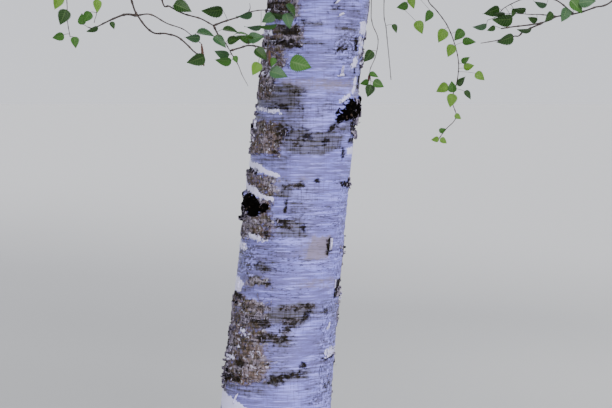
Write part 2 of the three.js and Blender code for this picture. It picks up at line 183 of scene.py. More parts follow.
# The bark's marks on the side that the photograph shows, by kind, in millimetres: left and right from the
# trunk's middle line as seen from the front, bottom and top above the ground and, where a mark isn't level,
# how far its right end lies lower. Furrows and knots keep one order, as their flakes are dealt out in it.
FRONT_MARKS = (
    ("furrow", (
        (-128, -50, 1300, 1372), (-126, -26, 1230, 1287, 6), (-122, -56, 1180, 1232),
        (-124, -82, 1106, 1190), (-124, -46, 962, 1047, 8),
    )),
    ("knot", ((94, 134, 1070, 1102, -10), (80, 128, 1052, 1084, -12))),
    ("furrow", ((-128, -50, 862, 914, 12),)),
    ("knot", ((-136, -98, 834, 866), (-126, -74, 820, 848, 6), (-112, -84, 808, 826))),
    ("furrow", (
        (-134, -56, 806, 862, 6), (-128, -42, 752, 812, 4), (-110, -38, 632, 661, 10),
        (-134, -40, 520, 604, 14), (-138, -30, 384, 524),
    )),
    # Dark smears; those along a furrow's top edge are painted shadow under the edge of white bark above it
    ("smear_and_shadow", (
        (-54, 34, 1283, 1299, 2), (-96, -34, 1262, 1288, 2), (-74, -20, 1230, 1256),
        (-34, 34, 1236, 1248, 6), (-86, 0, 1108, 1139, 16), (-120, 2, 1071, 1093, 4), (-84, -40, 990, 1040),
        (-82, 6, 1024, 1040, 10), (-24, 8, 1018, 1031, 4), (-30, 80, 978, 994), (-50, 10, 776, 803, 4),
        (-84, -32, 668, 696, 4), (-112, -44, 654, 664, 8), (-60, 66, 566, 586), (88, 118, 563, 584),
        (104, 130, 366, 388), (-50, 30, 484, 514, 12), (-112, -40, 522, 562, 8), (-120, -60, 470, 500),
        (-28, 84, 388, 422, -4), (22, 52, 1320, 1335), (50, 90, 1214, 1236),
    )),
    ("dark", (
        (-84, -40, 1262, 1280, 2), (-70, -30, 1226, 1240, 4), (-84, -44, 1074, 1091, 4),
        (-60, -36, 1000, 1036), (-1, 26, 998, 1016), (-78, -50, 961, 975), (46, 74, 985, 1008),
        (62, 86, 1022, 1048, -14), (76, 98, 1036, 1058, -10), (112, 125, 1018, 1044), (112, 125, 992, 1008),
        (100, 110, 952, 976), (-134, -102, 915, 931, 6), (38, 61, 893, 904), (104, 120, 885, 899),
        (-31, -21, 819, 846), (18, 30, 768, 792), (-78, -62, 750, 774, 8), (87, 100, 712, 760),
        (-56, -36, 630, 642), (-130, -96, 598, 613, 6), (118, 132, 606, 654), (44, 66, 547, 566, -4),
        (-108, -86, 426, 452), (-136, -124, 472, 490), (-84, -38, 538, 552, 6), (-60, -26, 488, 508),
        # The dark mark 104 to 132 across and 449 to 458 high is painted shadow under the rolled strip just
        # above it
        (-128, -96, 392, 412), (-30, 66, 396, 414, -8), (54, 75, 424, 444), (104, 132, 449, 458),
        (34, 45, 1338, 1349), (120, 128, 1216, 1266), (119, 126, 1180, 1206), (117, 123, 1126, 1166),
        (101, 110, 1220, 1256), (106, 114, 1168, 1186),
    )),
    ("blots", (
        (-112, -36, 1234, 1260, 6), (-118, -66, 1318, 1346), (-80, -44, 990, 1040, 6), (-31, 1, 982, 1012),
        (-46, 14, 880, 896), (-46, 4, 772, 800), (-14, 44, 528, 554, -6), (-64, -28, 524, 552),
        (-4, 26, 498, 530), (-48, 24, 490, 512, 4), (-16, 66, 566, 586), (-34, 6, 384, 410),
    )),
    ("flakes", (
        (-124, -106, 1261, 1274), (-112, -94, 1241, 1251), (-126, -114, 1216, 1230),
        (-124, -64, 1070, 1081, 14), (84, 106, 1099, 1111, -12), (-110, -66, 748, 762, 8),
        (-114, -92, 522, 534, 8), (-100, -82, 506, 514, 8), (-139, -122, 472, 488),
        (-130, -108, 450, 461, 6), (-112, -98, 476, 484), (107, 117, 1262, 1296, 4), (109, 119, 1214, 1258),
        (103, 115, 1184, 1212, -4), (106, 116, 1112, 1160),
    )),
    ("lines", (
        (-56, -10, 1206, 1230), (-70, 100, 660, 752), (-30, 110, 775, 850), (-60, 60, 600, 640),
        (-34, 22, 410, 504),
    )),
    ("cream", ((-84, 126, 1116, 1150, 18), (22, 92, 698, 766))),
    # Faint veils of the film's tone; those along the trunk's left and right outlines are painted shade on its
    # sides
    ("faint_film_and_shade", (
        (40, 126, 1160, 1350), (20, 90, 1056, 1120), (84, 136, 330, 610), (-20, 60, 800, 890),
        (-110, -10, 664, 750), (-34, 30, 410, 530), (-134, -66, 300, 1380),
    )),
    ("film", (
        (-118, -4, 1068, 1138, 8), (-60, 100, 966, 1022, 4), (-58, -6, 848, 900, 4), (-46, 33, 756, 802),
        (-50, 70, 534, 588),
    )),
    ("shade", (
        (-128, -20, 922, 968), (-120, 4, 1032, 1074, 10), (78, 126, 1018, 1050), (-96, -40, 790, 834),
        (-124, -84, 664, 744), (60, 128, 548, 590), (-136, -14, 352, 392, 6), (44, 112, 1210, 1292),
    )),
    ("fibre", ((-100, -74, 968, 1030), (-92, -34, 390, 484))),
    ("paper", (
        (113, 121, 962, 982), (-134, -92, 926, 945, 22), (-98, -52, 912, 923, 15),
        (-133, -94, 872, 891, 22), (-102, -60, 854, 865, 15), (-128, -116, 728, 746),
        (-134, -110, 614, 650), (-144, -62, 300, 356, 56), (108, 134, 460, 476, 4),
    )),
    ("blush", ((-50, 40, 898, 909, 4), (10, 126, 628, 655))),
    ("hair", ((-12, 126, 892, 898, 2), (-60, 124, 584, 592), (60, 122, 1196, 1300))),
    ("speckle", (
        (-124, -84, 664, 744), (104, 132, 660, 900), (94, 124, 552, 590), (98, 134, 330, 546),
        (54, 120, 1206, 1268),
    )),
    ("tan", ((42, 95, 699, 765), (-86, -50, 570, 596, 8))),
)

# Where cork stands out of the trunk's outline on that side: which outline (-1 left, 1 right), bottom and top
# in millimetres, how many flakes, and how far they stand out.
RAGGED_EDGES = (
    (-1, 1296, 1372, 10, 5), (-1, 1226, 1280, 8, 5), (-1, 1110, 1180, 8, 5), (-1, 1066, 1090, 5, 6),
    (-1, 974, 1050, 18, 10), (-1, 912, 934, 8, 9), (-1, 806, 868, 24, 12), (-1, 760, 800, 6, 6),
    (-1, 664, 700, 4, 4), (-1, 590, 612, 6, 8), (-1, 470, 560, 16, 9), (-1, 384, 466, 24, 10),
    (1, 1044, 1102, 26, 11), (1, 990, 1024, 7, 8), (1, 884, 904, 6, 8), (1, 700, 768, 8, 4),
    (1, 596, 656, 12, 8), (1, 436, 486, 8, 7), (1, 340, 420, 8, 4), (1, 1180, 1268, 16, 6),
)

# Strips of bark that stand rolled up on that side, in millimetres and degrees: across, height, length, radius
# of the roll, the direction of its axis (0 lies across, 90 stands up) and how far it is rolled.
FRONT_CURLS = (
    (-112, 1167, 13, 6, 12, 300), (58, 1313, 18, 4, 25, 250), (76, 1176, 22, 5, 86, 170),
    (74, 1163, 16, 5, 4, 240), (96, 741, 30, 4, 82, 240), (118, 458, 24, 5, 8, 260),
    (-121, 1040, 26, 5, 80, 200), (-122, 1006, 20, 4, 70, 230), (84, 1099, 16, 5, 30, 280),
    (-116, 735, 18, 4, 75, 230), (-120, 632, 30, 4, 84, 170), (-100, 350, 34, 7, 60, 120),
    (121, 1194, 16, 4, 20, 200), (-106, 1078, 24, 4, 20, 160), (-118, 1322, 18, 4, 40, 210),
    (116, 640, 24, 4, 80, 200), (112, 535, 20, 4, 70, 220), (-124, 452, 22, 5, 15, 190),
    (46, 1345, 14, 4, 40, 230),
)

# The bark all round and up the tree. A mark that comes this near the trunk's outline goes on round it, by an
# angle to the left or to the right.
BARK_SEED = 11
ROUND_MARKS = 210
ROUND_MARKS_START = 0.2
UPPER_MARKS = 620
OUTLINE_SHARE = 0.93
PAST_LEFT = 0.35
PAST_RIGHT = 0.3
BASE_FURROW_TOP = 0.34
BROWN_TOP_START = 10.8
# Seeded marks in three groups: their kinds, and the ranges of their half width and half height
ROUGH_GROUP = (("furrow", "fibre", "furrow", "shade", "furrow"), (0.014, 0.05), (0.012, 0.042))
DARK_GROUP = (("smear_and_shadow", "dark", "film"), (0.014, 0.05), (0.005, 0.014))
SMALL_GROUP = (("dark", "paper", "tan", "speckle", "lines", "cream"), (0.008, 0.04), (0.006, 0.016))
# Rough marks are a half of them up to a height, and fall to a few above it. The dark group takes all others
# up to a share. Marks slope by up to so much either way, are narrower where the trunk's radius is less than
# the one given, and reach so far round from the back where they keep to it.
ROUGH_SHARE = 0.5
LEAST_ROUGH_SHARE = 0.05
ROUGH_TOP = 2.5
DARK_SHARE = 0.76
MARK_SLOPE = 0.15
FULL_WIDTH_RADIUS = 0.11
BACK_REACH = 1.45

# How far marks raise or sink the bark, where the trunk is at least as thick as the radius given
PAPER_LIP = 0.0008
DARK_DEPTH = 0.0012
KNOT_SWELL = 0.014
SPECKLE_DEPTH = 0.004
BROAD_SWELL = 0.005
THICK_BARK_RADIUS = 0.08

# Cork flakes for each square metre of furrowed bark, and the ranges of a flake's length, the radius it is
# rolled to, its tilt and how far it is rolled. On the outline the radius is a share of how far it stands out.
FLAKES_PER_AREA = 2200
FLAKE = ((0.006, 0.022), (0.003, 0.007), (-0.5, 1.9), (0.9, 2.2))
EDGE_FLAKE = ((0.008, 0.02), (0.5, 1.0), (-0.6, 2.0), (1.0, 2.3))
EDGE_SPREAD = (-0.42, 0.12)
# The same for the rolled strips all round, which start at a height and grow fewer over their reach above it,
# with the points along their roll and across it
ROUND_CURLS = 46
CURLS_START = 0.25
CURLS_REACH = 3.2
CURL_LENGTHS = (0.012, 0.045)
CURL_RADII = (0.003, 0.006)
CURL_TILTS = (0.1, 0.3, 1.35, 1.5)
CURL_TURNS = (2.2, 4.8)
CURL_STEPS = (12, 5)
# How far round from the front a strip stands at most, and the angles behind the trunk and anywhere round it
CURL_OUTMOST = 1.4
BEHIND = (math.pi / 2 - 1.6, math.pi / 2 + 1.6)
ANYWHERE = (0, 6.28)
# A strip's thickness, how much it tightens and narrows towards its end, and how deep its root is sunk
BARK_SHEET = 0.0005
CURL_TIGHTENING = 0.35
ROOT_SUNK = 0.0008

# Hanging twigs, and the least that a mass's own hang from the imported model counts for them
TWIG_SEED = 5
LEAST_HANG = 0.5
LEAF_TINTS = ("deep", "olive", "fresh", "bright", "grey")
# Twigs are smaller on small limbs: their scale on the leader, and on the masses from the smallest to the
# largest stem. They may pass their mass's box by a margin, and start a little way along their limb.
LEADER_SCALE = 0.42
MASS_SCALES = (0.5, 1.0)
STEM_RANGE = (0.4, 1.7)
MASS_MARGIN = 0.03
MASS_START = 0.06
# Hang, scale and start of the twigs on the boughs, the thin boughs, the trunk's top and the leader's foot
BOUGH_TWIGS = (1.0, 0.55, 0.4)
MINOR_TWIGS = (0.9, (0.4, 0.75), 0.25)
THICK_MINOR = 0.015
TRUNK_TOP_TWIGS = (0.6, 0.5, 0.02)
LEADER_TWIGS = (0.55, 0.68, 0.02)
TRUNK_TOP_HEIGHTS = (11.4, 12.6, TRUNK_LENGTH)
LEADER_FOOT = 0.6
# A twig's place in its stretch of the limb, its turn off the limb's heading, its rise, and how far it carries
# on. Twigs stand closer on small limbs.
TWIG_PLACE = (0.1, 0.98)
TWIG_TURN = (0.3, 2.0)
TWIG_RISE = (0.0, 0.5)
TWIG_CARRY = (0.0, 0.4)
TWIG_START = 0.12
SMALL_SPACING = 0.7
# A standing twig's reach and drop, and its rise, which is also added where a limb hangs less
STANDING_REACH = 1.5
STANDING_RISE = 0.6
STANDING_DROP = 0.4
ROOM_BELOW = 0.06
TRUNK_CLEARANCE = 0.02
# Long and side twigs: how far they set out, how far side twigs drop, and the share that stands up
LONG_OUT = (0.06, 0.26)
LONG_STANDING = 0.22
SIDE_OUT = (0.04, 0.12)
SIDE_DROP = (0.05, 0.26)
SIDE_STANDING = 0.1
SIDE_RADIUS = 0.55
# A leaf's place in its stretch, its turn off the twig, its dip, how far its face is raised, and its size
LEAF_PLACE = (0.2, 0.95)
LEAF_TURN = (0.1, 2.2)
LEAF_DIP = (0.2, 1.25)
LEAF_FACE_RISE = 0.8
LEAF_SIZES = (0.72, 1.18)
STALK_SIZES = (0.4, 1.2)
# Catkins: the share of long twigs that bears one, its length, how far its tip sways, and its radius
CATKIN_SHARE = 0.2
CATKIN_LENGTHS = (0.03, 0.05)
CATKIN_SWAY = 0.01
CATKIN_RADIUS = 0.0035
# Near leaves: the points along and across a blade, its side veins and ripples, how far it stands before its
# twig, and its stalk's radius, arch and reach into the blade
BLADE_ROWS = 27
BLADE_COLUMNS = 9
VEIN_WAVES = 8
RIPPLES = 7
BLADE_BEFORE_TWIG = 0.006
STALK_RADIUS = 0.0006
STALK_ARCH = 0.002
STALK_REACH = 0.04
# Near catkins, and the near twigs' buds and the steps from point to point of their routes
NEAR_CATKIN_RADIUS = 0.0034
BUD_SPACING = 0.026
ROUTE_STEPS = 12

# Soft light from all round, and the studio's lamps: how far each leans from straight down, how far it is
# turned round the upright and how wide it is, in degrees, and its strength
SKY_STRENGTH = 1.1
LAMPS = (
    ("Key light", 48, 28, 30, 2.9),
    ("Low front light", 80, 12, 50, 1.8),
    ("Back light", 60, 200, 60, 0.96),
)

# The photograph's camera stands in front of the trunk, about as high as its horizon
CAMERA_PLACE = (0.115, -4.25, 1.1)
CAMERA_PITCH = math.radians(3.5)
CAMERA_LENS = 100
SENSOR_WIDTH = 36
CLIP_END = 3000


def linear(code):
    """The linear colour of an sRGB hex value such as "#B0B4D6"."""
    parts = np.array([int(code[i:i + 2], 16) / 255 for i in (1, 3, 5)])
    low = parts / 12.92
    high = ((parts + 0.055) / 1.055) ** 2.4
    return tuple(float(v) for v in np.where(parts <= 0.04045, low, high))


def chance(first, second):
    """A repeatable number from 0 to 1: the fraction of a large sine of a plant part's two counts."""
    wave = np.sin(first * 12.9898 + second * 78.233) * 43758.5453
    return float(wave - np.floor(wave))


def mix(a, b, share):
    return a + (b - a) * share


def smooth(low, high, value):
    """A smooth step: 0 below low, 1 above high, and the cubic 3t^2 - 2t^3 between them."""
    t = np.clip((value - low) / (high - low), 0, 1)
    return t * t * (3 - 2 * t)


def unit(vectors):
    return vectors / np.maximum(np.linalg.norm(vectors, axis=-1, keepdims=True), 1e-9)


def aim(heading, rise):
    """The unit direction with a heading round the upright and a rise above level, also for whole arrays."""
    heading, rise = np.broadcast_arrays(heading, rise)
    flat = np.cos(rise)
    return np.stack([np.cos(heading) * flat, np.sin(heading) * flat, np.sin(rise)], axis=-1)


def noise(points, size):
    """Smooth noise from 0 to 1: random numbers on the corners of cells `size` wide, blended smoothly."""
    cell = np.asarray(points) / size
    corner = np.floor(cell)
    part = cell - corner
    part = part * part * (3 - 2 * part)
    total = np.zeros(cell.shape[:-1])
    for shift in itertools.product((0, 1), repeat=3):
        wave = np.sin((corner + shift) @ np.array([127.1, 311.7, 74.7])) * 43758.5453
        weight = np.prod(np.where(np.array(shift) == 1, part, 1 - part), axis=-1)
        total += weight * (wave - np.floor(wave))
    return total


def curve(start, bend, end, steps):
    """Points on quadratic curves: (1-t)^2 start + 2t(1-t) bend + t^2 end, for whole arrays of curves."""
    t = np.linspace(0, 1, steps + 1)[:, None]
    start, bend, end = (np.asarray(p)[..., None, :] for p in (start, bend, end))
    return (1 - t) ** 2 * start + 2 * t * (1 - t) * bend + t ** 2 * end


def weeping_corners(start, heading, rise, out, carry, drop):
    """The three corners of a weeping twig's curve: it makes for a point `out` along its aim, and bends over
    towards an end that is `carry` further on and `drop` lower."""
    out, carry, drop = (np.asarray(v, float)[..., None] for v in (out, carry, drop))
    bend = start + aim(heading, rise) * out
    end = bend + aim(heading, 0) * carry - UP * drop
    return start, bend, end


def smooth_route(points, steps):
    """A smooth curve through a few points: Catmull-Rom cubics, `steps` to each stretch."""
    points = np.asarray(points, float)
    padded = np.vstack([2 * points[0] - points[1], points, 2 * points[-1] - points[-2]])
    a, b, c, d = (padded[i:len(padded) - 3 + i, None] for i in range(4))
    t = (np.arange(steps) / steps)[None, :, None]
    square, cube = 2 * a - 5 * b + 4 * c - d, 3 * b - a - 3 * c + d
    row = 0.5 * (2 * b + (c - a) * t + square * t ** 2 + cube * t ** 3)
    return np.vstack([row.reshape(-1, 3), points[-1]])


# The setting of a mask whose edge is a smooth step
SMOOTH_STEP = {"interpolation_type": "SMOOTHSTEP"}


def add_node(tree, kind, inputs=(), output=0, **settings):
    """Adds one shader node with its settings, gives its inputs, in their order or by key, numbers, colours or
    links, and returns one of its outputs."""
    node = tree.nodes.new("ShaderNode" + kind)
    for name, value in settings.items():
        setattr(node, name, value)
    for key, value in inputs.items() if isinstance(inputs, dict) else enumerate(inputs):
        if isinstance(value, bpy.types.NodeSocket):
            tree.links.new(value, node.inputs[key])
        else:
            node.inputs[key].default_value = value
    return node.outputs[output]


def grains(tree, place, size, seed=0.0, detail=3.0, roughness=0.5):
    """A pattern of soft grains, whose size along each axis is given in millimetres."""
    scale = tuple(1 / (length * MM) for length in size)
    moved = add_node(tree, "Mapping", {"Vector": place, "Location": (seed, seed, seed), "Scale": scale})
    return add_node(tree, "TexNoise", {
        "Vector": moved, "Scale": 1.0, "Detail": detail, "Roughness": roughness,
    })


def over(tree, base, tone, mask, strength=1.0):
    """Lays a tone over the base where a mask holds. The strength is a number or a second mask."""
    share = add_node(tree, "Math", (mask, strength), operation="MULTIPLY")
    colours = {6: base, 7: tone}
    for key, colour in colours.items():
        if not isinstance(colour, bpy.types.NodeSocket):
            colours[key] = (*colour, 1)
    return add_node(tree, "Mix", {0: share, **colours}, output=2, data_type="RGBA")


def layered(tree, base, *layers):
    """Lays tones over the base. Each layer is a tone, a pattern, the levels of the pattern at which the tone
    starts and is full, its strength and, where it has one, a mask that it keeps to."""
    for tone, pattern, start, full, strength, *within in layers:
        levels = (pattern, start, full, 0.0, strength)
        mask = add_node(tree, "MapRange", levels, **SMOOTH_STEP)
        base = over(tree, base, tone, mask, *within)
    return base


def new_material(name, base, roughness, specular=0.5):
    """A material with a Principled shader, and its node tree and shader to build on."""
    material = bpy.data.materials.new(name)
    material.use_nodes = True
    shader = material.node_tree.nodes["Principled BSDF"]
    shader.inputs["Base Color"].default_value = (*base, 1)
    shader.inputs["Roughness"].default_value = roughness
    shader.inputs["Specular IOR Level"].default_value = specular
    return material, material.node_tree, shader


def finish_shader(tree, shader, colour, height=None, strength=0.6, depth=0.001, sunk=False):
    """Links a material's colour and, where it has one, its fine relief, `depth` metres high or sunk."""
    tree.links.new(colour, shader.inputs["Base Color"])
    if height is not None:
        relief = {"Strength": strength, "Distance": depth, "Height": height}
        tree.links.new(add_node(tree, "Bump", relief, invert=sunk), shader.inputs["Normal"])


def make_piece(name, points, faces, material, attributes=None, uv=None, sharp_faces=0):
    """A mesh piece from arrays. `faces` is a list of arrays, each of faces with the same number of corners,
    and the last `sharp_faces` faces are flat caps that don't bend the shading of the sides."""
    mesh = bpy.data.meshes.new(name)
    points = np.asarray(points, np.float32).reshape(-1, 3)
    faces = [np.asarray(f, np.int32) for f in faces if len(f)]
    corners = np.concatenate([f.ravel() for f in faces])
    sizes = np.concatenate([np.full(len(f), f.shape[1]) for f in faces])
    mesh.vertices.add(len(points))
    mesh.vertices.foreach_set("co", points.ravel())
    mesh.loops.add(len(corners))
    mesh.loops.foreach_set("vertex_index", corners)
    mesh.polygons.add(len(sizes))
    mesh.polygons.foreach_set("loop_start", (np.cumsum(sizes) - sizes).astype(np.int32))
    mesh.polygons.foreach_set("use_smooth", np.arange(len(sizes)) < len(sizes) - sharp_faces)
    for key, values in (attributes or {}).items():
        layer = mesh.attributes.new(key, "FLOAT", "POINT")
        layer.data.foreach_set("value", np.asarray(values, np.float32).ravel())
    if uv is not None:
        layer = mesh.uv_layers.new(name="UVMap")
        layer.data.foreach_set("uv", np.asarray(uv, np.float32).reshape(-1, 2)[corners].ravel())
    mesh.update(calc_edges=True)
    mesh.validate()
    mesh.materials.append(material)
    piece = bpy.data.objects.new(name, mesh)
    bpy.context.scene.collection.objects.link(piece)
    return piece


def dress(piece, nodes=()):
    """Says that a finished piece rides with the tree, and hides the parts that it replaces."""
    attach(piece, BODY)
    if nodes:
        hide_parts(*nodes)
    return piece


def grid_faces(rows, columns, closed=True):
    """Quads over a grid of rows by columns. A closed grid joins its last column to its first."""
    across = columns if closed else columns - 1
    row, column = np.meshgrid(np.arange(rows - 1), np.arange(across), indexing="ij")
    after = (column + 1) % columns
    low, high = row * columns, (row + 1) * columns
    quads = [low + column, low + after, high + after, high + column]
    return np.stack([q.ravel() for q in quads], axis=-1)


def tubes(points, radii, across, sides):
    """Closed tubes: a ring of `sides` points carried along each path, square to it, with a radius at every
    step. `points` is paths by steps by 3, `across` a direction near the ring's plane for each path."""
    points = np.asarray(points, float)
    paths, steps = points.shape[:2]
    forward = unit(np.gradient(points, axis=1))
    side = np.broadcast_to(np.asarray(across, float).reshape(-1, 1, 3), points.shape)
    side = unit(side - forward * np.sum(side * forward, axis=-1, keepdims=True))
    face = np.cross(forward, side)
    turn = 2 * np.pi * np.arange(sides) / sides
    ring = side[:, :, None] * np.cos(turn)[:, None] + face[:, :, None] * np.sin(turn)[:, None]
    corners = points[:, :, None] + ring * np.asarray(radii)[..., None, None]
    first = (np.arange(paths) * steps * sides)[:, None]
    walls = (grid_faces(steps, sides)[None] + first[..., None]).reshape(-1, 4)
    foot = first + np.arange(sides)[::-1]
    tip = first + (steps - 1) * sides + np.arange(sides)
    return corners.reshape(-1, 3), [walls, np.vstack([foot, tip])]


def join(parts):
    """Joins several (points, faces) surfaces, with their faces sorted by how many corners they have."""
    points, faces, start = [], {}, 0
    for part_points, part_faces in parts:
        points.append(part_points)
        for group in part_faces:
            faces.setdefault(group.shape[1], []).append(group + start)
        start += len(part_points)
    return np.vstack(points), [np.vstack(groups) for groups in faces.values()]


# The source's rule for limbs and masses

def trunk_centre(height):
    """The middle of the trunk: a lean that turns upright by a hyperbolic tangent, and a sway that grows."""
    height = np.asarray(height, float)
    sway = SWAY * (height / TREE_HEIGHT) ** 1.5
    turn = 2 * np.pi * height / SWAY_LENGTH
    lean = LEAN * LEAN_HEIGHT * np.tanh(height / LEAN_HEIGHT)
    return np.stack([lean + sway * np.sin(turn), sway * np.cos(turn), height], axis=-1)


def trunk_radius(height):
    left = np.maximum(1 - np.asarray(height, float) / TRUNK_LENGTH, 0)
    return TRUNK_TIP_RADIUS + (TRUNK_RADIUS - TRUNK_TIP_RADIUS) * left ** TRUNK_TAPER


def root_flare(height, angle):
    return FLARE * np.exp(-height / FLARE_HEIGHT) * (1 + LOBE_DEPTH * np.cos(ROOT_LOBES * angle))


def plan_bough(name, height, heading, rise, length, share, stem):
    start = trunk_centre(height)
    bend = start + aim(heading, rise) * length / 2
    end = bend + aim(heading, rise - ARCH) * length / 2
    radius = share * trunk_radius(height)
    return {
        "name": name, "start": start, "bend": bend, "end": end, "heading": heading, "tip_rise": rise - ARCH,
        "radius": radius, "tip_radius": max(radius * BOUGH_TIP_SHARE, LEAST_BOUGH_TIP), "stem": stem,
        "height": height,
    }


def plan_boughs():
    boughs = []
    for i, (height, heading, rise, length) in enumerate(LOW_BOUGHS):
        turned, raised = math.radians(heading), math.radians(rise)
        stem = length * LOW_STEM_SHARE
        boughs.append(plan_bough(f"low_bough_{i + 1}", height, turned, raised, length, LOW_BOUGH_SHARE, stem))
    for i in range(MAIN_BOUGHS):
        share = i / (MAIN_BOUGHS - 1)
        height = mix(FIRST_MAIN_HEIGHT, LAST_MAIN_HEIGHT, share)
        fall = share ** LENGTH_FALL
        length = mix(LONG_BOUGH, SHORT_BOUGH, fall) * mix(*BOUGH_LENGTHS, chance(i, 1))
        rise = mix(LOW_RISE, HIGH_RISE, share)
        heading = FIRST_HEADING + i * GOLDEN_ANGLE
        stem = mix(LONG_STEM, SHORT_STEM, fall)
        boughs.append(plan_bough(f"bough_{i + 1:02d}", height, heading, rise, length, BOUGH_SHARE, stem))
    return boughs


def plan_masses(boughs):
    rows = [(
        bough["name"].replace("bough", "foliage"), bough["end"], bough["heading"], bough["tip_rise"],
        bough["stem"], 1.0, bough["tip_radius"],
    ) for bough in boughs]
    for i in range(TOP_SHOOTS):
        share = i / (TOP_SHOOTS - 1)
        start = trunk_centre(mix(TOP_SHOOTS_START, TOP_SHOOTS_END, share))
        heading = FIRST_HEADING + (MAIN_BOUGHS + i) * GOLDEN_ANGLE
        out = mix(LONG_TOP_STEM, SHORT_TOP_STEM, share)
        rows.append((f"foliage_top_{i + 1}", start, heading, HIGH_RISE, out, TOP_HANG, TOP_STEM_RADIUS))
    rows.append((
        "foliage_crown_tip", trunk_centre(TRUNK_LENGTH), LEADER_HEADING, LEADER_RISE,
        (TREE_HEIGHT - TRUNK_LENGTH) * LEADER_SHARE, LEADER_HANG, TRUNK_TIP_RADIUS,
    ))
    keys = ("name", "start", "heading", "rise", "out", "hang", "radius")
    return [dict(zip(keys, row), seed=seed) for seed, row in enumerate(rows, 1)]


def plan_minor_boughs():
    """The thin boughs between the main ones, which leave the trunk all the way up: each is a curve's corners,
    its heading, and its foot's and tip's radius."""
    limbs = []
    for i in range(MINOR_BOUGHS):
        share = i / (MINOR_BOUGHS - 1)
        height = mix(FIRST_MINOR_HEIGHT, LAST_MINOR_HEIGHT, share)
        length = mix(LONG_MINOR, SHORT_MINOR, share) * mix(*MINOR_LENGTHS, chance(i, 5))
        heading = FIRST_HEADING + (i + 0.5) * GOLDEN_ANGLE + mix(-MINOR_TURN, MINOR_TURN, chance(i, 6))
        rise = mix(LOW_RISE, HIGH_RISE, share) + MINOR_EXTRA_RISE
        carry, drop = length * MINOR_CARRY, length * MINOR_DROP
        corners = weeping_corners(trunk_centre(height), heading, rise, length, carry, drop)
        limbs.append((*corners, heading, MINOR_RADIUS_SHARE * length, MINOR_TIP_RADIUS))
    return limbs


def grow_skeleton(mass):
    """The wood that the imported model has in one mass: a stem that arches over, branches to either side of it,
    and shoots that hang from both. Each is a curve's three corners with its foot's and tip's radius."""
    seed, out_length, hang = mass["seed"], mass["out"], mass["hang"]
    stem = weeping_corners(
        mass["start"], mass["heading"], mass["rise"], out_length,
        out_length * hang * STEM_CARRY, out_length * hang * STEM_DROP,
    )
    limbs = [(*stem, mass["heading"], mass["radius"], BRANCH_RADIUS * STEM_TIP)]
    places = curve(*stem, STEM_BRANCHES + 1)

    def shoot(base, heading, index):
        reach = out_length * mix(*SHOOT_LENGTHS, chance(seed, index))
        fall = min(reach * SHOOT_DROP * hang, max(base[2] - LOWEST_TIP, 0))
        corners = weeping_corners(base, heading, SHOOT_RISE, reach * SHOOT_OUT, 0, fall)
        limbs.append((*corners, heading, SHOOT_RADIUS, SHOOT_RADIUS * SHOOT_TIP_SHARE))

    for k in range(1, STEM_BRANCHES + 1):
        side = 1 if k % 2 else -1
        spread = BRANCH_SPREAD + BRANCH_SPREAD_RANGE * chance(seed, 10 * k)
        heading = mass["heading"] + side * spread
        shrink = 1 - BRANCH_SHRINK * (k - 1)
        out = out_length * BRANCH_OUT * shrink * mix(*BRANCH_LENGTHS, chance(seed, 10 * k + 1))
        fall = min(out_length * hang * BRANCH_DROP, max(places[k][2] - LOWEST_TIP, 0))
        rise = BRANCH_RISE + UPRIGHT_RISE * (1 - hang)
        corners = weeping_corners(places[k], heading, rise, out, out * BRANCH_CARRY, fall)
        limbs.append((*corners, heading, BRANCH_RADIUS, BRANCH_RADIUS * BRANCH_TIP_SHARE))
        if k > 1 and out_length >= SMALL_STEM:
            shoot(curve(*corners, 2)[1], heading - side * SHOOT_TURN, 10 * k + 2)
    if out_length >= SMALL_STEM:
        shoot(places[1], mass["heading"] - SHOOT_TURN, 70)
    return limbs


BOUGHS = plan_boughs()
MINOR_LIMBS = plan_minor_boughs()
MASSES = plan_masses(BOUGHS)
SKELETONS = {mass["name"]: grow_skeleton(mass) for mass in MASSES}
LOW_STEMS = {name: curve(*SKELETONS[name][0][:3], 5) for name in SKELETONS if name.startswith("low")}


# The bark

# Each kind of mark: how soft its edge is across and up, in millimetres, and how far it raises each field
MARK_KINDS = {
    "furrow": (30, 8, {"rough": 0.92, "moss": 0.6}),
    "fibre": (14, 10, {"rough": 0.75, "tan": 1.0}),
    "blots": (14, 7, {"rough": 0.66, "dark": 0.74, "moss": 0.95}),
    # Dark smears, some of them painted shadow under an edge of white bark
    "smear_and_shadow": (26, 7, {"moss": 0.85, "dark": 0.46}),
    "dark": (14, 8, {"dark": 0.88, "moss": 0.95}),
    "knot": (10, 10, {"dark": 1.0, "knot": 1.2, "rough": 1.0}),
    "paper": (6, 4, {"paper": 1.0}),
    "flakes": (12, 7, {"paper": 0.8}),
    "cream": (36, 16, {"tan": 0.64}),
    "blush": (36, 8, {"tan": 0.5}),
    "tan": (7, 5, {"tan": 1.0}),
    "film": (30, 8, {"moss": 1.0, "dark": 0.25}),
    "shade": (26, 10, {"moss": 0.62}),
    # A faint veil of film, which along the trunk's outlines is painted shade on its sides
    "faint_film_and_shade": (26, 16, {"moss": 0.42}),
    "speckle": (8, 10, {"speckle": 1.0}),
    "lines": (12, 8, {"lines": 1.0}),
    "hair": (10, 3, {"lines": 0.9}),
}
FIELDS = ("rough", "dark", "tan", "paper", "moss", "speckle", "lines", "knot")


def on_front(across, height):
    """The angle round the trunk, from its front, and the height of the bark that the photograph's camera sees
    at a place measured on the upright plane through the trunk's middle line: what stands nearer looks further
    out from the camera's own height."""
    radius = trunk_radius(height) + root_flare(height, -math.pi / 2)
    nearer = 1 + math.sqrt(max(radius ** 2 - across ** 2, 0)) / CAMERA_PLACE[1]
    angle = math.asin(np.clip(across * nearer / radius, -1, 1))
    return angle, CAMERA_PLACE[2] + (height - CAMERA_PLACE[2]) * nearer


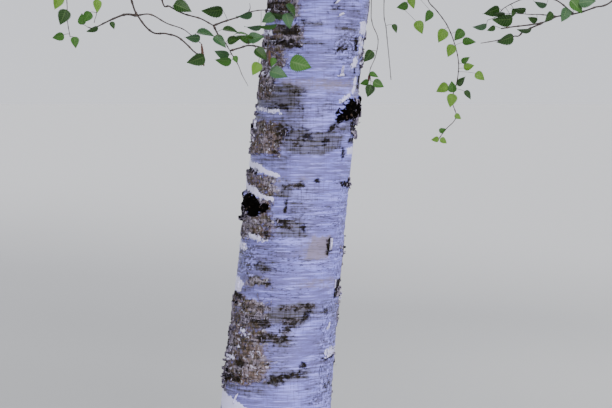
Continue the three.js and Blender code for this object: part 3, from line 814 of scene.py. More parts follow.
def front_marks():
    """The marks of the front as angle, height, half width and half height, in metres, and slope."""
    marks = []
    every = ((kind, *row) for kind, rows in FRONT_MARKS for row in rows)
    for kind, left, right, bottom, top, *dip in every:
        height = (bottom + top) / 2 * MM
        radius = trunk_radius(height) + root_flare(height, -math.pi / 2)
        near, far = (on_front(side * MM, height)[0] for side in (left, right))
        height = on_front((left + right) / 2 * MM, height)[1]
        slope = sum(dip) * MM / ((far - near) * radius)
        # What reaches the trunk's outline goes on round it
        before = -PAST_LEFT if left * MM < -OUTLINE_SHARE * radius else 0
        after = PAST_RIGHT if right * MM > OUTLINE_SHARE * radius else 0
        middle, half = (near + far + before + after) / 2, (far - near + after - before) / 2 * radius
        height -= slope * radius * (before + after) / 2
        marks.append((kind, middle - math.pi / 2, height, half, (top - bottom) / 2 * MM, slope))
    return marks


def round_marks(generator, count, low, high, whole_round):
    """Seeded marks of the same kinds for the rest of the bark, fewer of them rough the higher they are."""
    marks = []
    for _ in range(count):
        height = mix(low, high, generator.random())
        size = min(trunk_radius(height) / FULL_WIDTH_RADIUS, 1)
        angle = generator.uniform(-math.pi, math.pi)
        if not whole_round:
            angle = math.pi / 2 + generator.uniform(-1, 1) * BACK_REACH
        rough = mix(LEAST_ROUGH_SHARE, ROUGH_SHARE, math.exp(-max(height / ROUGH_TOP - 1, 0)))
        draw = generator.random()
        group = ROUGH_GROUP if draw < rough else DARK_GROUP if draw < DARK_SHARE else SMALL_GROUP
        kinds, widths, heights = group
        kind = kinds[generator.integers(len(kinds))]
        half_width, half_height = generator.uniform(*widths), generator.uniform(*heights)
        slope = generator.uniform(-MARK_SLOPE, MARK_SLOPE)
        marks.append((kind, angle, height, half_width * size, half_height, slope))
    return marks


def scar_marks():
    """The knot at each bough's foot and the dark brow over it, of two streaks that run down from it to either
    side. Their places and sizes are in radii of the bough."""
    marks = []
    for bough in BOUGHS:
        radius, heading = bough["radius"], bough["heading"]
        round_trunk = radius / trunk_radius(bough["height"])
        marks.append(("knot", heading, bough["height"] - radius * 0.4, radius * 1.4, radius * 1.0, 0))
        for side in (-1, 1):
            marks.append(("dark", heading + side * round_trunk * 2.1, bough["height"] - radius * 1.6,
                          radius * 1.7, radius * 0.6, side * 0.7))
    return marks


def bark_place(angle, height):
    """The trunk's radius, and the place on its bark if it stood straight, which the patterns follow."""
    radius = trunk_radius(height)
    return radius, np.stack([np.cos(angle) * radius, np.sin(angle) * radius, height], axis=-1)


def bark_fields(angle, height, marks):
    """How far each of the bark's fields holds at every point. A mark is the product of two smooth steps, one
    across its width and one up its height, that reach a half at its edge. The edges are pulled about by two
    sizes of noise."""
    radius, place = bark_place(angle, height)
    pull_across = (noise(place, 0.035) - 0.5) * 0.03 + (noise(place + 3, 0.009) - 0.5) * 0.012
    pull_up = (noise(place + 7, (0.04, 0.04, 0.03)) - 0.5) * 0.018 + (noise(place + 11, 0.008) - 0.5) * 0.007
    fields = {name: np.zeros(angle.shape) for name in FIELDS}
    for kind, middle, level, half_width, half_height, slope in marks:
        soft_across, soft_up, raised = MARK_KINDS[kind]
        half_height = max(half_height, 0.004)
        reach = half_height * 1.4 + 0.02 + abs(slope) * half_width
        rows = slice(*np.searchsorted(height[:, 0], (level - reach, level + reach)))
        turned = (angle[rows] - middle + np.pi) % (2 * np.pi) - np.pi
        soften = min(1.0, half_height / 0.014)
        across = turned * radius[rows] + pull_across[rows] * min(1.0, half_width / 0.02)
        up = height[rows] - level + slope * turned * radius[rows] + pull_up[rows] * soften
        soft = np.minimum((soft_across * MM, soft_up * MM), (half_width, half_height))
        value = smooth(-soft[0], soft[0], half_width - np.abs(across))
        value = value * smooth(-soft[1], soft[1], half_height - np.abs(up))
        for name, strength in raised.items():
            fields[name][rows] = np.maximum(fields[name][rows], value * strength)
    # Old, furrowed bark round the foot, and brown young bark at the top
    foot = smooth(BASE_FURROW_TOP, 0.1, height + (noise(place + 5, (0.05, 0.05, 0.11)) - 0.5) * 0.24)
    fields["rough"] = np.maximum(fields["rough"], foot)
    fields["brown"] = smooth(BROWN_TOP_START, TRUNK_LENGTH - 0.7, height + (noise(place, 0.3) - 0.5))
    return fields


def bark_relief(angle, height, fields, sizes):
    """How far the bark stands out from the trunk's own radius: knobbly ridges in the rough parts, a lip along
    torn paper, dips in dark cracks, swollen knots, and fine wrinkles that run round the trunk."""
    radius, place = bark_place(angle, height)
    rough = smooth(0.35, 0.65, fields["rough"])
    ridges = noise(place, (0.011, 0.011, 0.026)) * 0.6 + noise(place + 2, (0.006, 0.006, 0.009)) * 0.6
    relief = rough * (0.0004 + sizes.furrow_depth * (ridges - 0.35))
    relief += smooth(0.4, 0.6, fields["paper"]) * PAPER_LIP
    relief -= smooth(0.4, 0.7, fields["dark"]) * (1 - fields["knot"]) * DARK_DEPTH
    jagged = noise(place + 9, 0.013) * 0.6 + noise(place + 1, 0.006) * 0.4
    relief += smooth(0.2, 0.8, fields["knot"]) * (KNOT_SWELL * jagged - 0.001)
    relief += smooth(0.3, 0.8, fields["speckle"]) * (noise(place + 8, 0.006) - 0.5) * SPECKLE_DEPTH
    relief += (noise(place + 4, (0.08, 0.08, 0.0065)) - 0.5) * sizes.wrinkle_depth * 2
    relief += (noise(place + 6, (0.11, 0.11, 0.17)) - 0.5) * BROAD_SWELL
    return relief * np.minimum(radius / THICK_BARK_RADIUS, 1)


def trunk_surface(low, high, columns, rows, marks, sizes):
    """A stretch of the trunk: rings round its leaning middle line, whose radius is the taper, the root flare
    and the bark's relief. Both ends are closed by a level fan."""
    turn = -np.pi + 2 * np.pi * np.arange(columns) / columns
    height, angle = np.meshgrid(np.linspace(low, high, rows), turn, indexing="ij")
    fields = bark_fields(angle, height, marks)
    relief = bark_relief(angle, height, fields, sizes)
    radius = trunk_radius(height) + root_flare(height, angle) + relief
    points = trunk_centre(height)
    points[..., 0] += np.cos(angle) * radius
    points[..., 1] += np.sin(angle) * radius
    points = points.reshape(-1, 3)
    ends = np.array([trunk_centre(low), trunk_centre(high)])
    foot, top = len(points), len(points) + 1
    around = np.arange(columns)
    after = (around + 1) % columns
    last = (rows - 1) * columns
    caps = np.vstack([
        np.stack([after, around, np.full(columns, foot)], axis=-1),
        np.stack([last + around, last + after, np.full(columns, top)], axis=-1),
    ])
    values = {name: np.append(fields[name].ravel(), [0, 0]) for name in (*FIELDS, "brown")}
    return np.vstack([points, ends]), [grid_faces(rows, columns), caps], values


def curl_surface(base, out, axis, length, radius, rolled, steps):
    """A rolled strip of bark: a spiral that leaves the surface along it, tightens, and is carried along its
    axis, with ragged ends. It is a closed shell as thick as a sheet of bark, from two grids of `steps` points
    joined at their rims."""
    turns, along = np.meshgrid(np.linspace(0, 1, steps[0]), np.linspace(-0.5, 0.5, steps[1]), indexing="ij")
    phi = turns * rolled
    tight = radius * (1 - CURL_TIGHTENING * turns)
    side = np.cross(axis, out)
    ragged = length * (1 - CURL_TIGHTENING * turns ** 2) * (1 + 0.12 * np.sin(9 * along + 4 * turns))
    layers = []
    for shell in (0, BARK_SHEET):
        spin = (tight - shell)[..., None]
        place = base + axis * (along * ragged)[..., None] + out * (radius - spin * np.cos(phi)[..., None])
        layers.append(place + side * spin * np.sin(phi)[..., None])
    rows, columns = turns.shape
    count = rows * columns
    sheet = grid_faces(rows, columns, closed=False)
    edge = np.concatenate([
        np.arange(columns), np.arange(1, rows) * columns + columns - 1,
        (rows - 1) * columns + np.arange(columns - 2, -1, -1), np.arange(rows - 2, 0, -1) * columns,
    ])
    after = np.roll(edge, -1)
    rim = np.stack([after, edge, edge + count, after + count], axis=-1)
    faces = np.vstack([sheet, sheet[:, ::-1] + count, rim])
    return np.concatenate([layer.reshape(-1, 3) for layer in layers]), [faces]


def scatter_flakes(generator, marks):
    """Short flakes of cork that stand out of the furrowed marks, more of them the larger the mark is."""
    flakes = []
    for kind, middle, level, half_width, half_height, _ in marks:
        if kind not in ("furrow", "knot"):
            continue
        radius = trunk_radius(level)
        for _ in range(int(4 * half_width * half_height * FLAKES_PER_AREA) + 1):
            angle = middle + generator.uniform(-1, 1) * half_width / radius
            height = level + generator.uniform(-1, 1) * half_height
            flakes.append(place_curl(angle, height, *(generator.uniform(*limits) for limits in FLAKE)))
    return flakes


def edge_flakes(generator):
    """The flakes that make the trunk's outline ragged, on the outlines that RAGGED_EDGES names."""
    flakes = []
    for side, bottom, top, count, out in RAGGED_EDGES:
        for _ in range(count):
            angle = -math.pi / 2 + side * (math.pi / 2 + generator.uniform(*EDGE_SPREAD))
            height = generator.uniform(bottom, top) * MM
            length, share, tilt, rolled = (generator.uniform(*limits) for limits in EDGE_FLAKE)
            flakes.append(place_curl(angle, height, length, out * share * MM, tilt, rolled))
    return flakes


def place_curl(angle, height, length, radius, tilt, rolled, steps=(6, 4)):
    """One strip at its place on the trunk, half sunk so that its root is hidden."""
    out = np.array([math.cos(angle), math.sin(angle), 0.0])
    around = np.array([-math.sin(angle), math.cos(angle), 0.0])
    axis = around * math.cos(tilt) + UP * math.sin(tilt)
    reach = trunk_radius(height) + root_flare(height, angle) - ROOT_SUNK
    return curl_surface(trunk_centre(height) + out * reach, out, axis, length, radius, rolled, steps)


def bough_surface(bough):
    """A bough: rings carried along its arch, thinning evenly, with a collar at its foot that dies away as an
    exponential, and wrinkles that run round it."""
    share = np.linspace(0, 1, BOUGH_ROWS)
    points = curve(bough["start"], bough["bend"], bough["end"], BOUGH_ROWS - 1)
    collar = 1 + COLLAR_SWELL * np.exp(-share / COLLAR_LENGTH)
    radii = mix(bough["radius"], bough["tip_radius"], share) * collar
    across = aim(bough["heading"] + math.pi / 2, 0)
    corners, faces = tubes(points[None], radii[None], across, BOUGH_COLUMNS)
    rings = corners.reshape(BOUGH_ROWS, BOUGH_COLUMNS, 3)
    out = rings - points[:, None]
    bumps = (noise(rings, 0.03) - 0.5) * 0.10 + (noise(rings + 5, 0.011) - 0.5) * 0.10
    rings = rings + out * bumps[..., None]
    length = np.cumsum(np.append(0, np.linalg.norm(np.diff(points, axis=0), axis=-1)))
    turn = np.arange(BOUGH_COLUMNS) / BOUGH_COLUMNS * 2 * np.pi * bough["radius"]
    uv = np.stack(np.meshgrid(turn, length), axis=-1)
    age = np.broadcast_to(share[:, None], rings.shape[:2])
    return rings.reshape(-1, 3), faces, uv, age


# Twigs and leaves of the crown

def length_of(corners):
    """The length of each curve, from eight straight steps."""
    points = curve(*corners, 8)
    return np.linalg.norm(np.diff(points, axis=-2), axis=-1).sum(axis=-1)


def off_trunk(points, clear):
    """True for each point that stands clear of the trunk."""
    height = np.clip(points[..., 2], 0, TRUNK_LENGTH)
    away = np.linalg.norm((points - trunk_centre(height))[..., :2], axis=-1)
    return (away > trunk_radius(height) + clear) | (points[..., 2] > TRUNK_LENGTH)


def pick(limbs, chosen):
    """The same entries of every array that describes a set of limbs."""
    return {key: values[chosen] for key, values in limbs.items()}


def on_curve(limbs, share):
    """The point at its own share of the way along each limb's curve."""
    t = share[:, None]
    return (1 - t) ** 2 * limbs["start"] + 2 * t * (1 - t) * limbs["bend"] + t ** 2 * limbs["end"]


def first_limbs():
    """Every limb that bears hanging twigs, as arrays: the limbs of the masses, the boughs and the trunk's
    top. `low` and `high` bound the space that its twigs keep to, and `first` is where they begin along it."""
    rows = []
    for mass in MASSES:
        low, high = (np.array(corner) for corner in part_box(mass["name"]))
        scale = LEADER_SCALE
        if mass["rise"] != LEADER_RISE:
            scale = mix(*MASS_SCALES, smooth(*STEM_RANGE, mass["out"]))
        hang = max(mass["hang"], LEAST_HANG)
        for *corners, heading, _, _ in SKELETONS[mass["name"]]:
            rows.append((*corners, heading, hang, scale, MASS_START, low - MASS_MARGIN, high + MASS_MARGIN))
    box = [np.array(corner) for corner in CAD_BOX]
    for bough in BOUGHS:
        rows.append((bough["start"], bough["bend"], bough["end"], bough["heading"], *BOUGH_TWIGS, *box))
    hang, scales, first = MINOR_TWIGS
    for *corners, heading, foot, _ in MINOR_LIMBS:
        rows.append((*corners, heading, hang, mix(*scales, foot / THICK_MINOR), first, *box))
    top = [trunk_centre(height) for height in TRUNK_TOP_HEIGHTS]
    leader = trunk_centre(TRUNK_LENGTH - LEADER_FOOT), *SKELETONS["foliage_crown_tip"][0][1:3]
    for heading in (FIRST_HEADING, FIRST_HEADING + math.pi * 0.6):
        rows.append((*top, heading, *TRUNK_TOP_TWIGS, *box))
        rows.append((*leader, heading, *LEADER_TWIGS, *box))
    keys = ("start", "bend", "end", "heading", "hang", "scale", "first", "low", "high")
    return {key: np.array(column, float) for key, column in zip(keys, zip(*rows))}


def spaced(generator, limbs, count, place):
    """Places for `count` twigs or leaves along each limb: the limbs repeated for each, its share of the way
    along, and its side, which changes from one to the next."""
    owner = np.repeat(np.arange(len(count)), count)
    number = np.arange(len(owner)) - np.repeat(np.cumsum(count) - count, count)
    limbs = pick(limbs, owner)
    step = (number + generator.uniform(*place, len(number))) / count[owner]
    return limbs, mix(limbs["first"], 1.0, step), np.where(number % 2, 1, -1)


def sprout(generator, limbs, spacing, out, drop, upright):
    """Twigs along each limb, to either side in turn, which set out a little way and then hang. A share of
    them, `upright`, is short and stands up. They stop short of the bottom of their space and are left out
    where they would pass its sides or touch the trunk."""
    lengths = length_of((limbs["start"], limbs["bend"], limbs["end"])) * (1 - limbs["first"])
    spacing = spacing * mix(SMALL_SPACING, 1.0, limbs["scale"])
    count = np.maximum((lengths / spacing).astype(int), 1)
    limbs, share, side = spaced(generator, limbs, count, TWIG_PLACE)
    total, hang, scale = len(share), limbs["hang"], limbs["scale"]
    base = on_curve(limbs, share)
    heading = limbs["heading"] + side * generator.uniform(*TWIG_TURN, total)
    stands = generator.random(total) < upright
    reach = generator.uniform(*out, total) * scale * (2 - hang)
    reach = np.where(stands, reach * STANDING_REACH, reach)
    rise = generator.uniform(*TWIG_RISE, total) + STANDING_RISE * (1 - hang)
    rise = np.where(stands, rise + STANDING_RISE, rise)
    fall = mix(*drop, generator.random(total) ** 1.4) * hang * scale
    fall = np.where(stands, reach * STANDING_DROP, fall)
    room = base[:, 2] + reach * np.sin(rise) - np.maximum(limbs["low"][:, 2], LOWEST_TIP) - ROOM_BELOW
    fall = np.minimum(fall, np.maximum(room * generator.uniform(0.5, 1.0, total), 0.01))
    carry = reach * generator.uniform(*TWIG_CARRY, total)
    start, bend, end = weeping_corners(base, heading, rise, reach, carry, fall)
    points = curve(start, bend, end, 4)
    fits = ((points > limbs["low"][:, None]) & (points < limbs["high"][:, None])).all(axis=(1, 2))
    fits &= off_trunk(points[:, 1:], TRUNK_CLEARANCE).all(axis=-1)
    first = np.full(total, TWIG_START)
    return pick(dict(limbs, start=start, bend=bend, end=end, heading=heading, first=first), fits)


def grow_crown(sizes):
    """The crown's hanging twigs, in two orders: long ones from every limb, and short ones from those. A spray
    is one long twig with its short ones, and has one tint."""
    generator = np.random.default_rng(TWIG_SEED)
    falls = (sizes.twig_least, sizes.twig_most)
    long_twigs = sprout(generator, first_limbs(), sizes.twig_spacing, LONG_OUT, falls, LONG_STANDING)
    long_twigs["tint"] = generator.integers(0, len(LEAF_TINTS), len(long_twigs["start"]))
    spread = sizes.twig_spacing * sizes.side_spacing
    return long_twigs, sprout(generator, long_twigs, spread, SIDE_OUT, SIDE_DROP, SIDE_STANDING)


# A birch leaf's outline: how far along it, across it and out of its plane each corner stands, as shares of
# its length. It is folded along the straight line from its foot to its drawn-out tip.
BLADE_OUTLINE = np.array([
    [0.0, 0.30, 0.60, 1.0, 0.60, 0.30],
    [0.0, 0.40, 0.25, 0.0, -0.25, -0.40],
    [0.0, 0.10, 0.04, -0.10, 0.04, 0.10],
])
BLADE_FACES = np.array([[0, 3, 2], [0, 2, 1], [0, 5, 4], [0, 4, 3]])


def crown_leaves(roots, along, face, length):
    """Leaves of four faces: each outline corner is root + length (along a + across b + face c)."""
    along = unit(along)
    face = unit(face - along * np.sum(face * along, axis=-1, keepdims=True))
    across = np.cross(face, along)
    spread = sum(axis[:, None] * shape[:, None] for axis, shape in zip((along, across, face), BLADE_OUTLINE))
    points = roots[:, None] + spread * length[:, None, None]
    faces = BLADE_FACES[None] + (np.arange(len(roots)) * BLADE_OUTLINE.shape[1])[:, None, None]
    return points.reshape(-1, 3), faces.reshape(-1, 3)


def leaves_along(generator, twigs, sizes):
    """Where the leaves of a set of twigs stand: root, direction, face and length, with the twigs' tints. They
    leave the twig to every side, hang a little, and turn their face up or out."""
    lengths = length_of((twigs["start"], twigs["bend"], twigs["end"]))
    count = np.maximum((lengths * sizes.leaves_per_metre).astype(int), 2)
    twigs, share, side = spaced(generator, twigs, count, LEAF_PLACE)
    total = len(share)
    turned = twigs["heading"] + side * generator.uniform(*LEAF_TURN, total)
    along = aim(turned, -generator.uniform(*LEAF_DIP, total))
    facing = aim(turned + generator.normal(0, 1.0, total), LEAF_FACE_RISE)
    length = sizes.leaf_length * generator.uniform(*LEAF_SIZES, total)
    stalk = sizes.stalk_length * generator.uniform(*STALK_SIZES, total)
    roots = on_curve(twigs, share) + along * stalk[:, None]
    clear = off_trunk(roots, TRUNK_CLEARANCE) & (roots[:, 2] + along[:, 2] * length > LOWEST_TIP)
    return roots[clear], along[clear], facing[clear], length[clear], twigs["tint"][clear]


# The sprays that hang beside the foot of the crown, in front of the photograph's camera: what carries each
# twig, its radius and the points of its route, in millimetres. The carrier is an earlier twig, or a point of
# a limb, in fifths of a low mass's stem or in hundredths of a low bough.
NEAR_TWIGS = {
    "left": (("low_foliage_1", 1), 4.6, (
        (-400, -330, 1900), (-330, -285, 1480), (-291, -280, 1334), (-276, -280, 1296), (-243, -280, 1257),
        (-210, -282, 1254), (-180, -284, 1245), (-149, -284, 1216), (-134, -284, 1203),
    )),
    "left_fork": ("left", 3.0, (
        (-276, -280, 1296), (-308, -285, 1297), (-351, -295, 1279), (-376, -300, 1266), (-390, -302, 1268),
    )),
    "left_arch": ("left", 1.9, (
        (-276, -280, 1297), (-247, -275, 1299), (-210, -270, 1279), (-172, -268, 1265), (-150, -266, 1248),
        (-127, -265, 1229),
    )),
    "middle": (("low_foliage_1", 0), 4.2, (
        (-262, -300, 1900), (-238, -285, 1500), (-220, -280, 1334), (-201, -280, 1317), (-168, -280, 1299),
        (-133, -280, 1290), (-100, -280, 1273),
    )),
    "middle_fork": ("middle", 2.3, (
        (-100, -280, 1273), (-62, -276, 1287), (-40, -274, 1293), (-22, -272, 1303), (8, -270, 1309),
        (33, -268, 1307),
    )),
    "middle_spur": ("middle_fork", 1.2, ((-20, -272, 1303), (-15, -274, 1313), (-16, -276, 1325))),
    "middle_drop": ("middle", 2.4, (
        (-100, -280, 1273), (-88, -280, 1250), (-72, -280, 1231), (-62, -280, 1215),
    )),
    "over_trunk": ("middle_drop", 2.2, (
        (-62, -280, 1215), (-40, -280, 1221), (-17, -278, 1226), (19, -276, 1220), (42, -275, 1208),
        (63, -274, 1188), (78, -273, 1179),
    )),
    "under_fork": ("middle_drop", 1.2, (
        (-62, -280, 1214), (-44, -279, 1183), (-33, -278, 1157), (-20, -277, 1132),
    )),
    "right": (("low_foliage_2", 1), 4.2, (
        (1060, -235, 1900), (930, -245, 1500), (840, -250, 1342), (789, -250, 1316), (742, -250, 1301),
        (703, -250, 1295), (676, -250, 1283), (629, -250, 1275), (597, -250, 1271), (572, -250, 1267),
    )),
    "right_low": ("right", 2.2, (
        (670, -250, 1281), (629, -248, 1263), (614, -247, 1250), (601, -246, 1249), (561, -244, 1239),
        (525, -243, 1233),
    )),
    "right_high": ("right", 1.9, (
        (742, -250, 1301), (700, -246, 1334), (650, -244, 1344), (617, -243, 1334), (580, -242, 1316),
        (563, -241, 1297), (541, -240, 1287),
    )),
    "right_mid": ("right", 1.5, (
        (703, -250, 1295), (674, -247, 1299), (629, -245, 1301), (590, -243, 1302),
    )),
    "far": (("low_foliage_3", 1), 3.4, (
        (720, 1246, 2750), (520, 1250, 1900), (500, 1250, 1500), (507, 1250, 1424), (534, 1250, 1389),
        (568, 1250, 1343), (594, 1250, 1281), (607, 1250, 1220), (603, 1250, 1163), (587, 1250, 1100),
        (600, 1250, 1045), (565, 1250, 1003), (545, 1250, 975),
    )),
    "far_side": ("far", 1.6, (
        (502, 1250, 1480), (470, 1246, 1440), (440, 1244, 1412), (425, 1243, 1395),
    )),
    "behind_left": (("low_bough_3", 30), 2.4, (
        (400, 300, 2300), (345, 300, 1700), (323, 300, 1368), (329, 300, 1287), (337, 300, 1207),
        (342, 300, 1154),
    )),
    "behind_near": (("low_bough_3", 24), 2.4, (
        (330, 270, 2200), (296, 298, 1700), (289, 300, 1368), (291, 300, 1307), (307, 300, 1262),
        (300, 300, 1215), (286, 300, 1180), (288, 300, 1150),
    )),
    "edge_first": (("low_foliage_1", 2), 2.2, (
        (-540, -470, 2000), (-430, -452, 1500), (-417, -450, 1324), (-416, -450, 1280), (-410, -450, 1240),
    )),
    "edge_second": (("low_foliage_1", 2), 2.0, (
        (-520, -466, 2050), (-380, -452, 1560), (-352, -450, 1324), (-356, -450, 1272),
    )),
}

# The leaves on them: the twig, across and height of the blade's middle in millimetres, the way that its tip
# points as the camera sees it (0 right, 90 up), how far the blade is turned from facing the camera, both in
# degrees, its length in millimetres, and its tint.
NEAR_LEAVES = (
    ("middle", -170, 1315, -18, 30, 46, "deep"), ("middle_fork", -102, 1305, 192, 50, 50, "deep"),
    ("middle_fork", -28, 1295, 198, 58, 38, "grey"), ("middle_fork", 26, 1289, 215, 12, 34, "grey"),
    ("middle_fork", 24, 1270, 196, 76, 48, "fresh"), ("middle_fork", -8, 1268, 190, 66, 40, "grey"),
    ("middle_fork", 46, 1296, 176, 64, 34, "deep"), ("over_trunk", -28, 1243, 176, 52, 42, "fresh"),
    ("middle_fork", 82, 1309, -48, 55, 38, "deep"), ("middle_fork", 74, 1284, -70, 25, 38, "grey"),
    ("middle_drop", -58, 1262, -6, 62, 42, "deep"), ("middle_drop", -32, 1254, 2, 78, 34, "fresh"),
    ("middle_drop", -52, 1240, 28, 40, 34, "deep"), ("over_trunk", 0, 1245, 14, 25, 40, "grey"),
    ("middle_drop", -84, 1236, -35, 42, 38, "grey"), ("left_arch", -118, 1256, -6, 60, 44, "grey"),
    ("left_arch", -150, 1244, 188, 48, 38, "grey"), ("left", -140, 1192, 205, 35, 44, "deep"),
    ("under_fork", -82, 1207, 170, 42, 38, "grey"), ("under_fork", -78, 1190, 184, 48, 40, "fresh"),
    ("under_fork", -48, 1194, -60, 20, 18, "fresh"), ("over_trunk", 12, 1206, -38, 35, 40, "deep"),
    ("over_trunk", -2, 1172, 248, 16, 34, "bright"), ("over_trunk", 52, 1162, -12, 30, 44, "grey"),
    ("over_trunk", 104, 1183, -14, 12, 54, "fresh"), ("over_trunk", 38, 1188, -100, 30, 22, "fresh"),
    ("left_fork", -402, 1287, 98, 20, 28, "fresh"), ("left_fork", -332, 1272, -60, 40, 20, "deep"),
    ("left_fork", -378, 1262, 214, 62, 28, "deep"), ("edge_first", -424, 1283, 250, 15, 38, "deep"),
    ("edge_first", -436, 1240, 200, 30, 28, "fresh"), ("edge_first", -398, 1228, 285, 30, 26, "fresh"),
    ("edge_second", -372, 1283, 240, 25, 30, "fresh"), ("edge_first", -436, 1316, 255, 30, 34, "bright"),
    ("edge_second", -348, 1308, 280, 40, 30, "bright"), ("right_high", 549, 1306, 205, 40, 42, "deep"),
    ("right_high", 576, 1286, 190, 42, 48, "deep"), ("right_high", 522, 1271, 196, 58, 36, "grey"),
    ("right_low", 581, 1240, 206, 40, 44, "deep"), ("right_mid", 645, 1288, 168, 40, 24, "deep"),
    ("right_mid", 612, 1310, 184, 58, 36, "deep"), ("right", 720, 1298, 250, 18, 36, "grey"),
    ("right", 748, 1319, -45, 20, 42, "fresh"), ("right", 682, 1293, 240, 35, 30, "deep"),
    ("right_low", 626, 1262, 190, 68, 34, "deep"), ("right", 548, 1266, 214, 40, 22, "deep"),
    ("right_high", 662, 1324, 170, 60, 34, "grey"), ("right", 772, 1330, 10, 20, 42, "grey"),
    ("right_high", 600, 1302, 262, 40, 22, "deep"), ("right_mid", 566, 1300, 184, 55, 30, "deep"),
    ("far", 552, 1306, 248, 12, 48, "bright"), ("far", 606, 1308, 236, 15, 46, "fresh"),
    ("far", 580, 1258, 252, 12, 44, "bright"), ("far", 640, 1288, 8, 40, 44, "fresh"),
    ("far", 553, 1137, 216, 18, 46, "bright"), ("far", 586, 1143, 100, 15, 38, "fresh"),
    ("far", 584, 1098, 262, 10, 46, "bright"), ("far", 616, 1162, 60, 45, 40, "deep"),
    ("far", 676, 1176, -35, 15, 38, "bright"), ("far", 638, 1116, -48, 40, 36, "deep"),
    ("far", 606, 1046, -30, 20, 26, "bright"), ("far", 532, 973, 195, 20, 26, "bright"),
    ("far", 560, 968, -30, 20, 28, "bright"), ("far", 556, 1003, 30, 20, 24, "fresh"),
    ("far", 640, 1208, 20, 25, 36, "bright"), ("far", 630, 1230, 45, 40, 34, "fresh"),
    ("far_side", 480, 1333, -60, 20, 46, "bright"), ("far_side", 508, 1368, 250, 30, 42, "fresh"),
    ("far_side", 424, 1400, 200, 30, 40, "fresh"), ("far_side", 455, 1412, -60, 30, 40, "bright"),
    ("behind_near", 309, 1142, -22, 18, 34, "fresh"), ("behind_near", 284, 1124, 258, 12, 36, "deep"),
    ("behind_near", 296, 1167, -14, 45, 26, "fresh"), ("behind_near", 270, 1146, 205, 30, 26, "fresh"),
    ("behind_near", 281, 1216, 240, 25, 38, "deep"), ("behind_left", 352, 1290, -60, 40, 26, "deep"),
)

# Catkins on them: the twig, across and height of the top and the length in millimetres, and the way that the
# tip points, as the leaves' does
NEAR_CATKINS = (
    ("left_arch", -126, 1236, 52, -84),
    ("over_trunk", 29, 1217, 36, -88),
    ("behind_near", 268, 1172, 24, -100),
)


def carrier_point(name, place):
    """The point where a near twig leaves the limb that carries it: a low mass's stem or a low bough."""
    if name in LOW_STEMS:
        return LOW_STEMS[name][place]
    bough = next(bough for bough in BOUGHS if bough["name"] == name)
    return curve(bough["start"], bough["bend"], bough["end"], 100)[place]


def near_routes():
    """The near twigs as smooth curves through their points, each from its carrier on."""
    routes = {}
    for name, (carrier, _, route) in NEAR_TWIGS.items():
        points = np.array(route) * MM
        if not isinstance(carrier, str):
            points = np.vstack([carrier_point(*carrier), points])
        routes[name] = smooth_route(points, ROUTE_STEPS)
    return routes


def near_twig_surface(points, radius):
    """A near twig: a ring carried along its route, thinning to a third, kinked and swollen a little at every
    bud, whose places are peaks of a wave along it."""
    length = np.cumsum(np.append(0, np.linalg.norm(np.diff(points, axis=0), axis=-1)))
    share = length / length[-1]
    buds = np.clip(np.sin(length * 2 * np.pi / BUD_SPACING), 0, 1) ** 6
    radii = radius * mix(1.0, 0.38, share) * (1 + 0.45 * buds)
    wander = (noise(points, 0.02) - 0.5)[:, None] * np.array([0.0, 0.004, 0.002])
    return tubes((points + wander)[None], radii[None], np.array([0.0, 1.0, 0.02]), 8)


def blade_frame(angle, turn):
    """A leaf's direction, its face and its side, from the way its tip points and how far it is turned."""
    along = np.array([math.cos(angle), 0.0, math.sin(angle)])
    side = np.array([-math.sin(angle), 0.0, math.cos(angle)])
    front = np.array([0.0, -1.0, 0.0])
    face = front * math.cos(turn) + side * math.sin(turn)
    along = unit(along + front * 0.12)
    return along, face, np.cross(face, along)


def nearest(route, across, height):
    """The point of a near twig that the camera sees nearest to a place."""
    return route[int(np.argmin(np.hypot(route[:, 0] - across, route[:, 2] - height)))]


def near_blades(routes):
    """The near leaves: tint, the node on the twig, the blade's root, its three axes and its length."""
    blades = []
    for twig, across, height, angle, turn, size, tint in NEAR_LEAVES:
        axes = blade_frame(math.radians(angle), math.radians(turn))
        root = np.array([across, 0.0, height]) * MM - axes[0] * size * MM / 2
        node = nearest(routes[twig], root[0], root[2])
        root[1] = node[1] - BLADE_BEFORE_TWIG
        blades.append((tint, node, root, axes, size * MM))
    return blades


def near_leaf_surface(root, axes, length, seed):
    """A whole birch leaf: half width s^0.5 (1-s)^1.15 along its length s, over that formula's peak of 0.363,
    with toothed edges, halves folded up from the midrib, ripples across it, and a tip that bends back."""
    s, q = np.meshgrid(np.linspace(0, 1, BLADE_ROWS), np.linspace(-1, 1, BLADE_COLUMNS), indexing="ij")
    width = 0.42 * s ** 0.5 * (1 - s) ** 1.15 / 0.363
    teeth = np.where(np.arange(BLADE_ROWS) % 2, 1.0, 0.84)[:, None]
    width = width * np.where(np.abs(q) > 0.99, teeth, 1)
    fold = 0.24 * np.abs(q) * width
    ripple = 0.012 * np.sin(2 * np.pi * (s * RIPPLES - np.abs(q) * 1.1)) * np.abs(q) * (1 - s)
    bend = -0.18 * s ** 2 + 0.05 * math.sin(seed * 2.3) * q * s
    lift = fold + ripple + bend
    shape = (s, lift, width * q)
    points = root + length * sum(axis * value[..., None] for axis, value in zip(axes, shape))
    uv = np.stack([q * 0.5 + 0.5, s], axis=-1)
    return points.reshape(-1, 3), grid_faces(BLADE_ROWS, BLADE_COLUMNS, closed=False), uv.reshape(-1, 2)


def catkin_surface(top, tip, radius, sides, rows):
    """Catkins: spindles whose radius is a root of a sine along them, knobbed with scales in a spiral."""
    top, tip = np.atleast_2d(top), np.atleast_2d(tip)
    share = np.linspace(0, 1, rows)
    points = mix(top[:, None], tip[:, None], share[None, :, None])
    outline = np.maximum(np.sin(np.pi * (0.04 + 0.92 * share)), 0) ** 0.5
    radii = radius * outline * (1 + 0.14 * np.sin(share * rows * 2.1))
    return tubes(points, np.broadcast_to(radii, points.shape[:2]), np.array([0.8, 0.6, 0.1]), sides)


# Materials

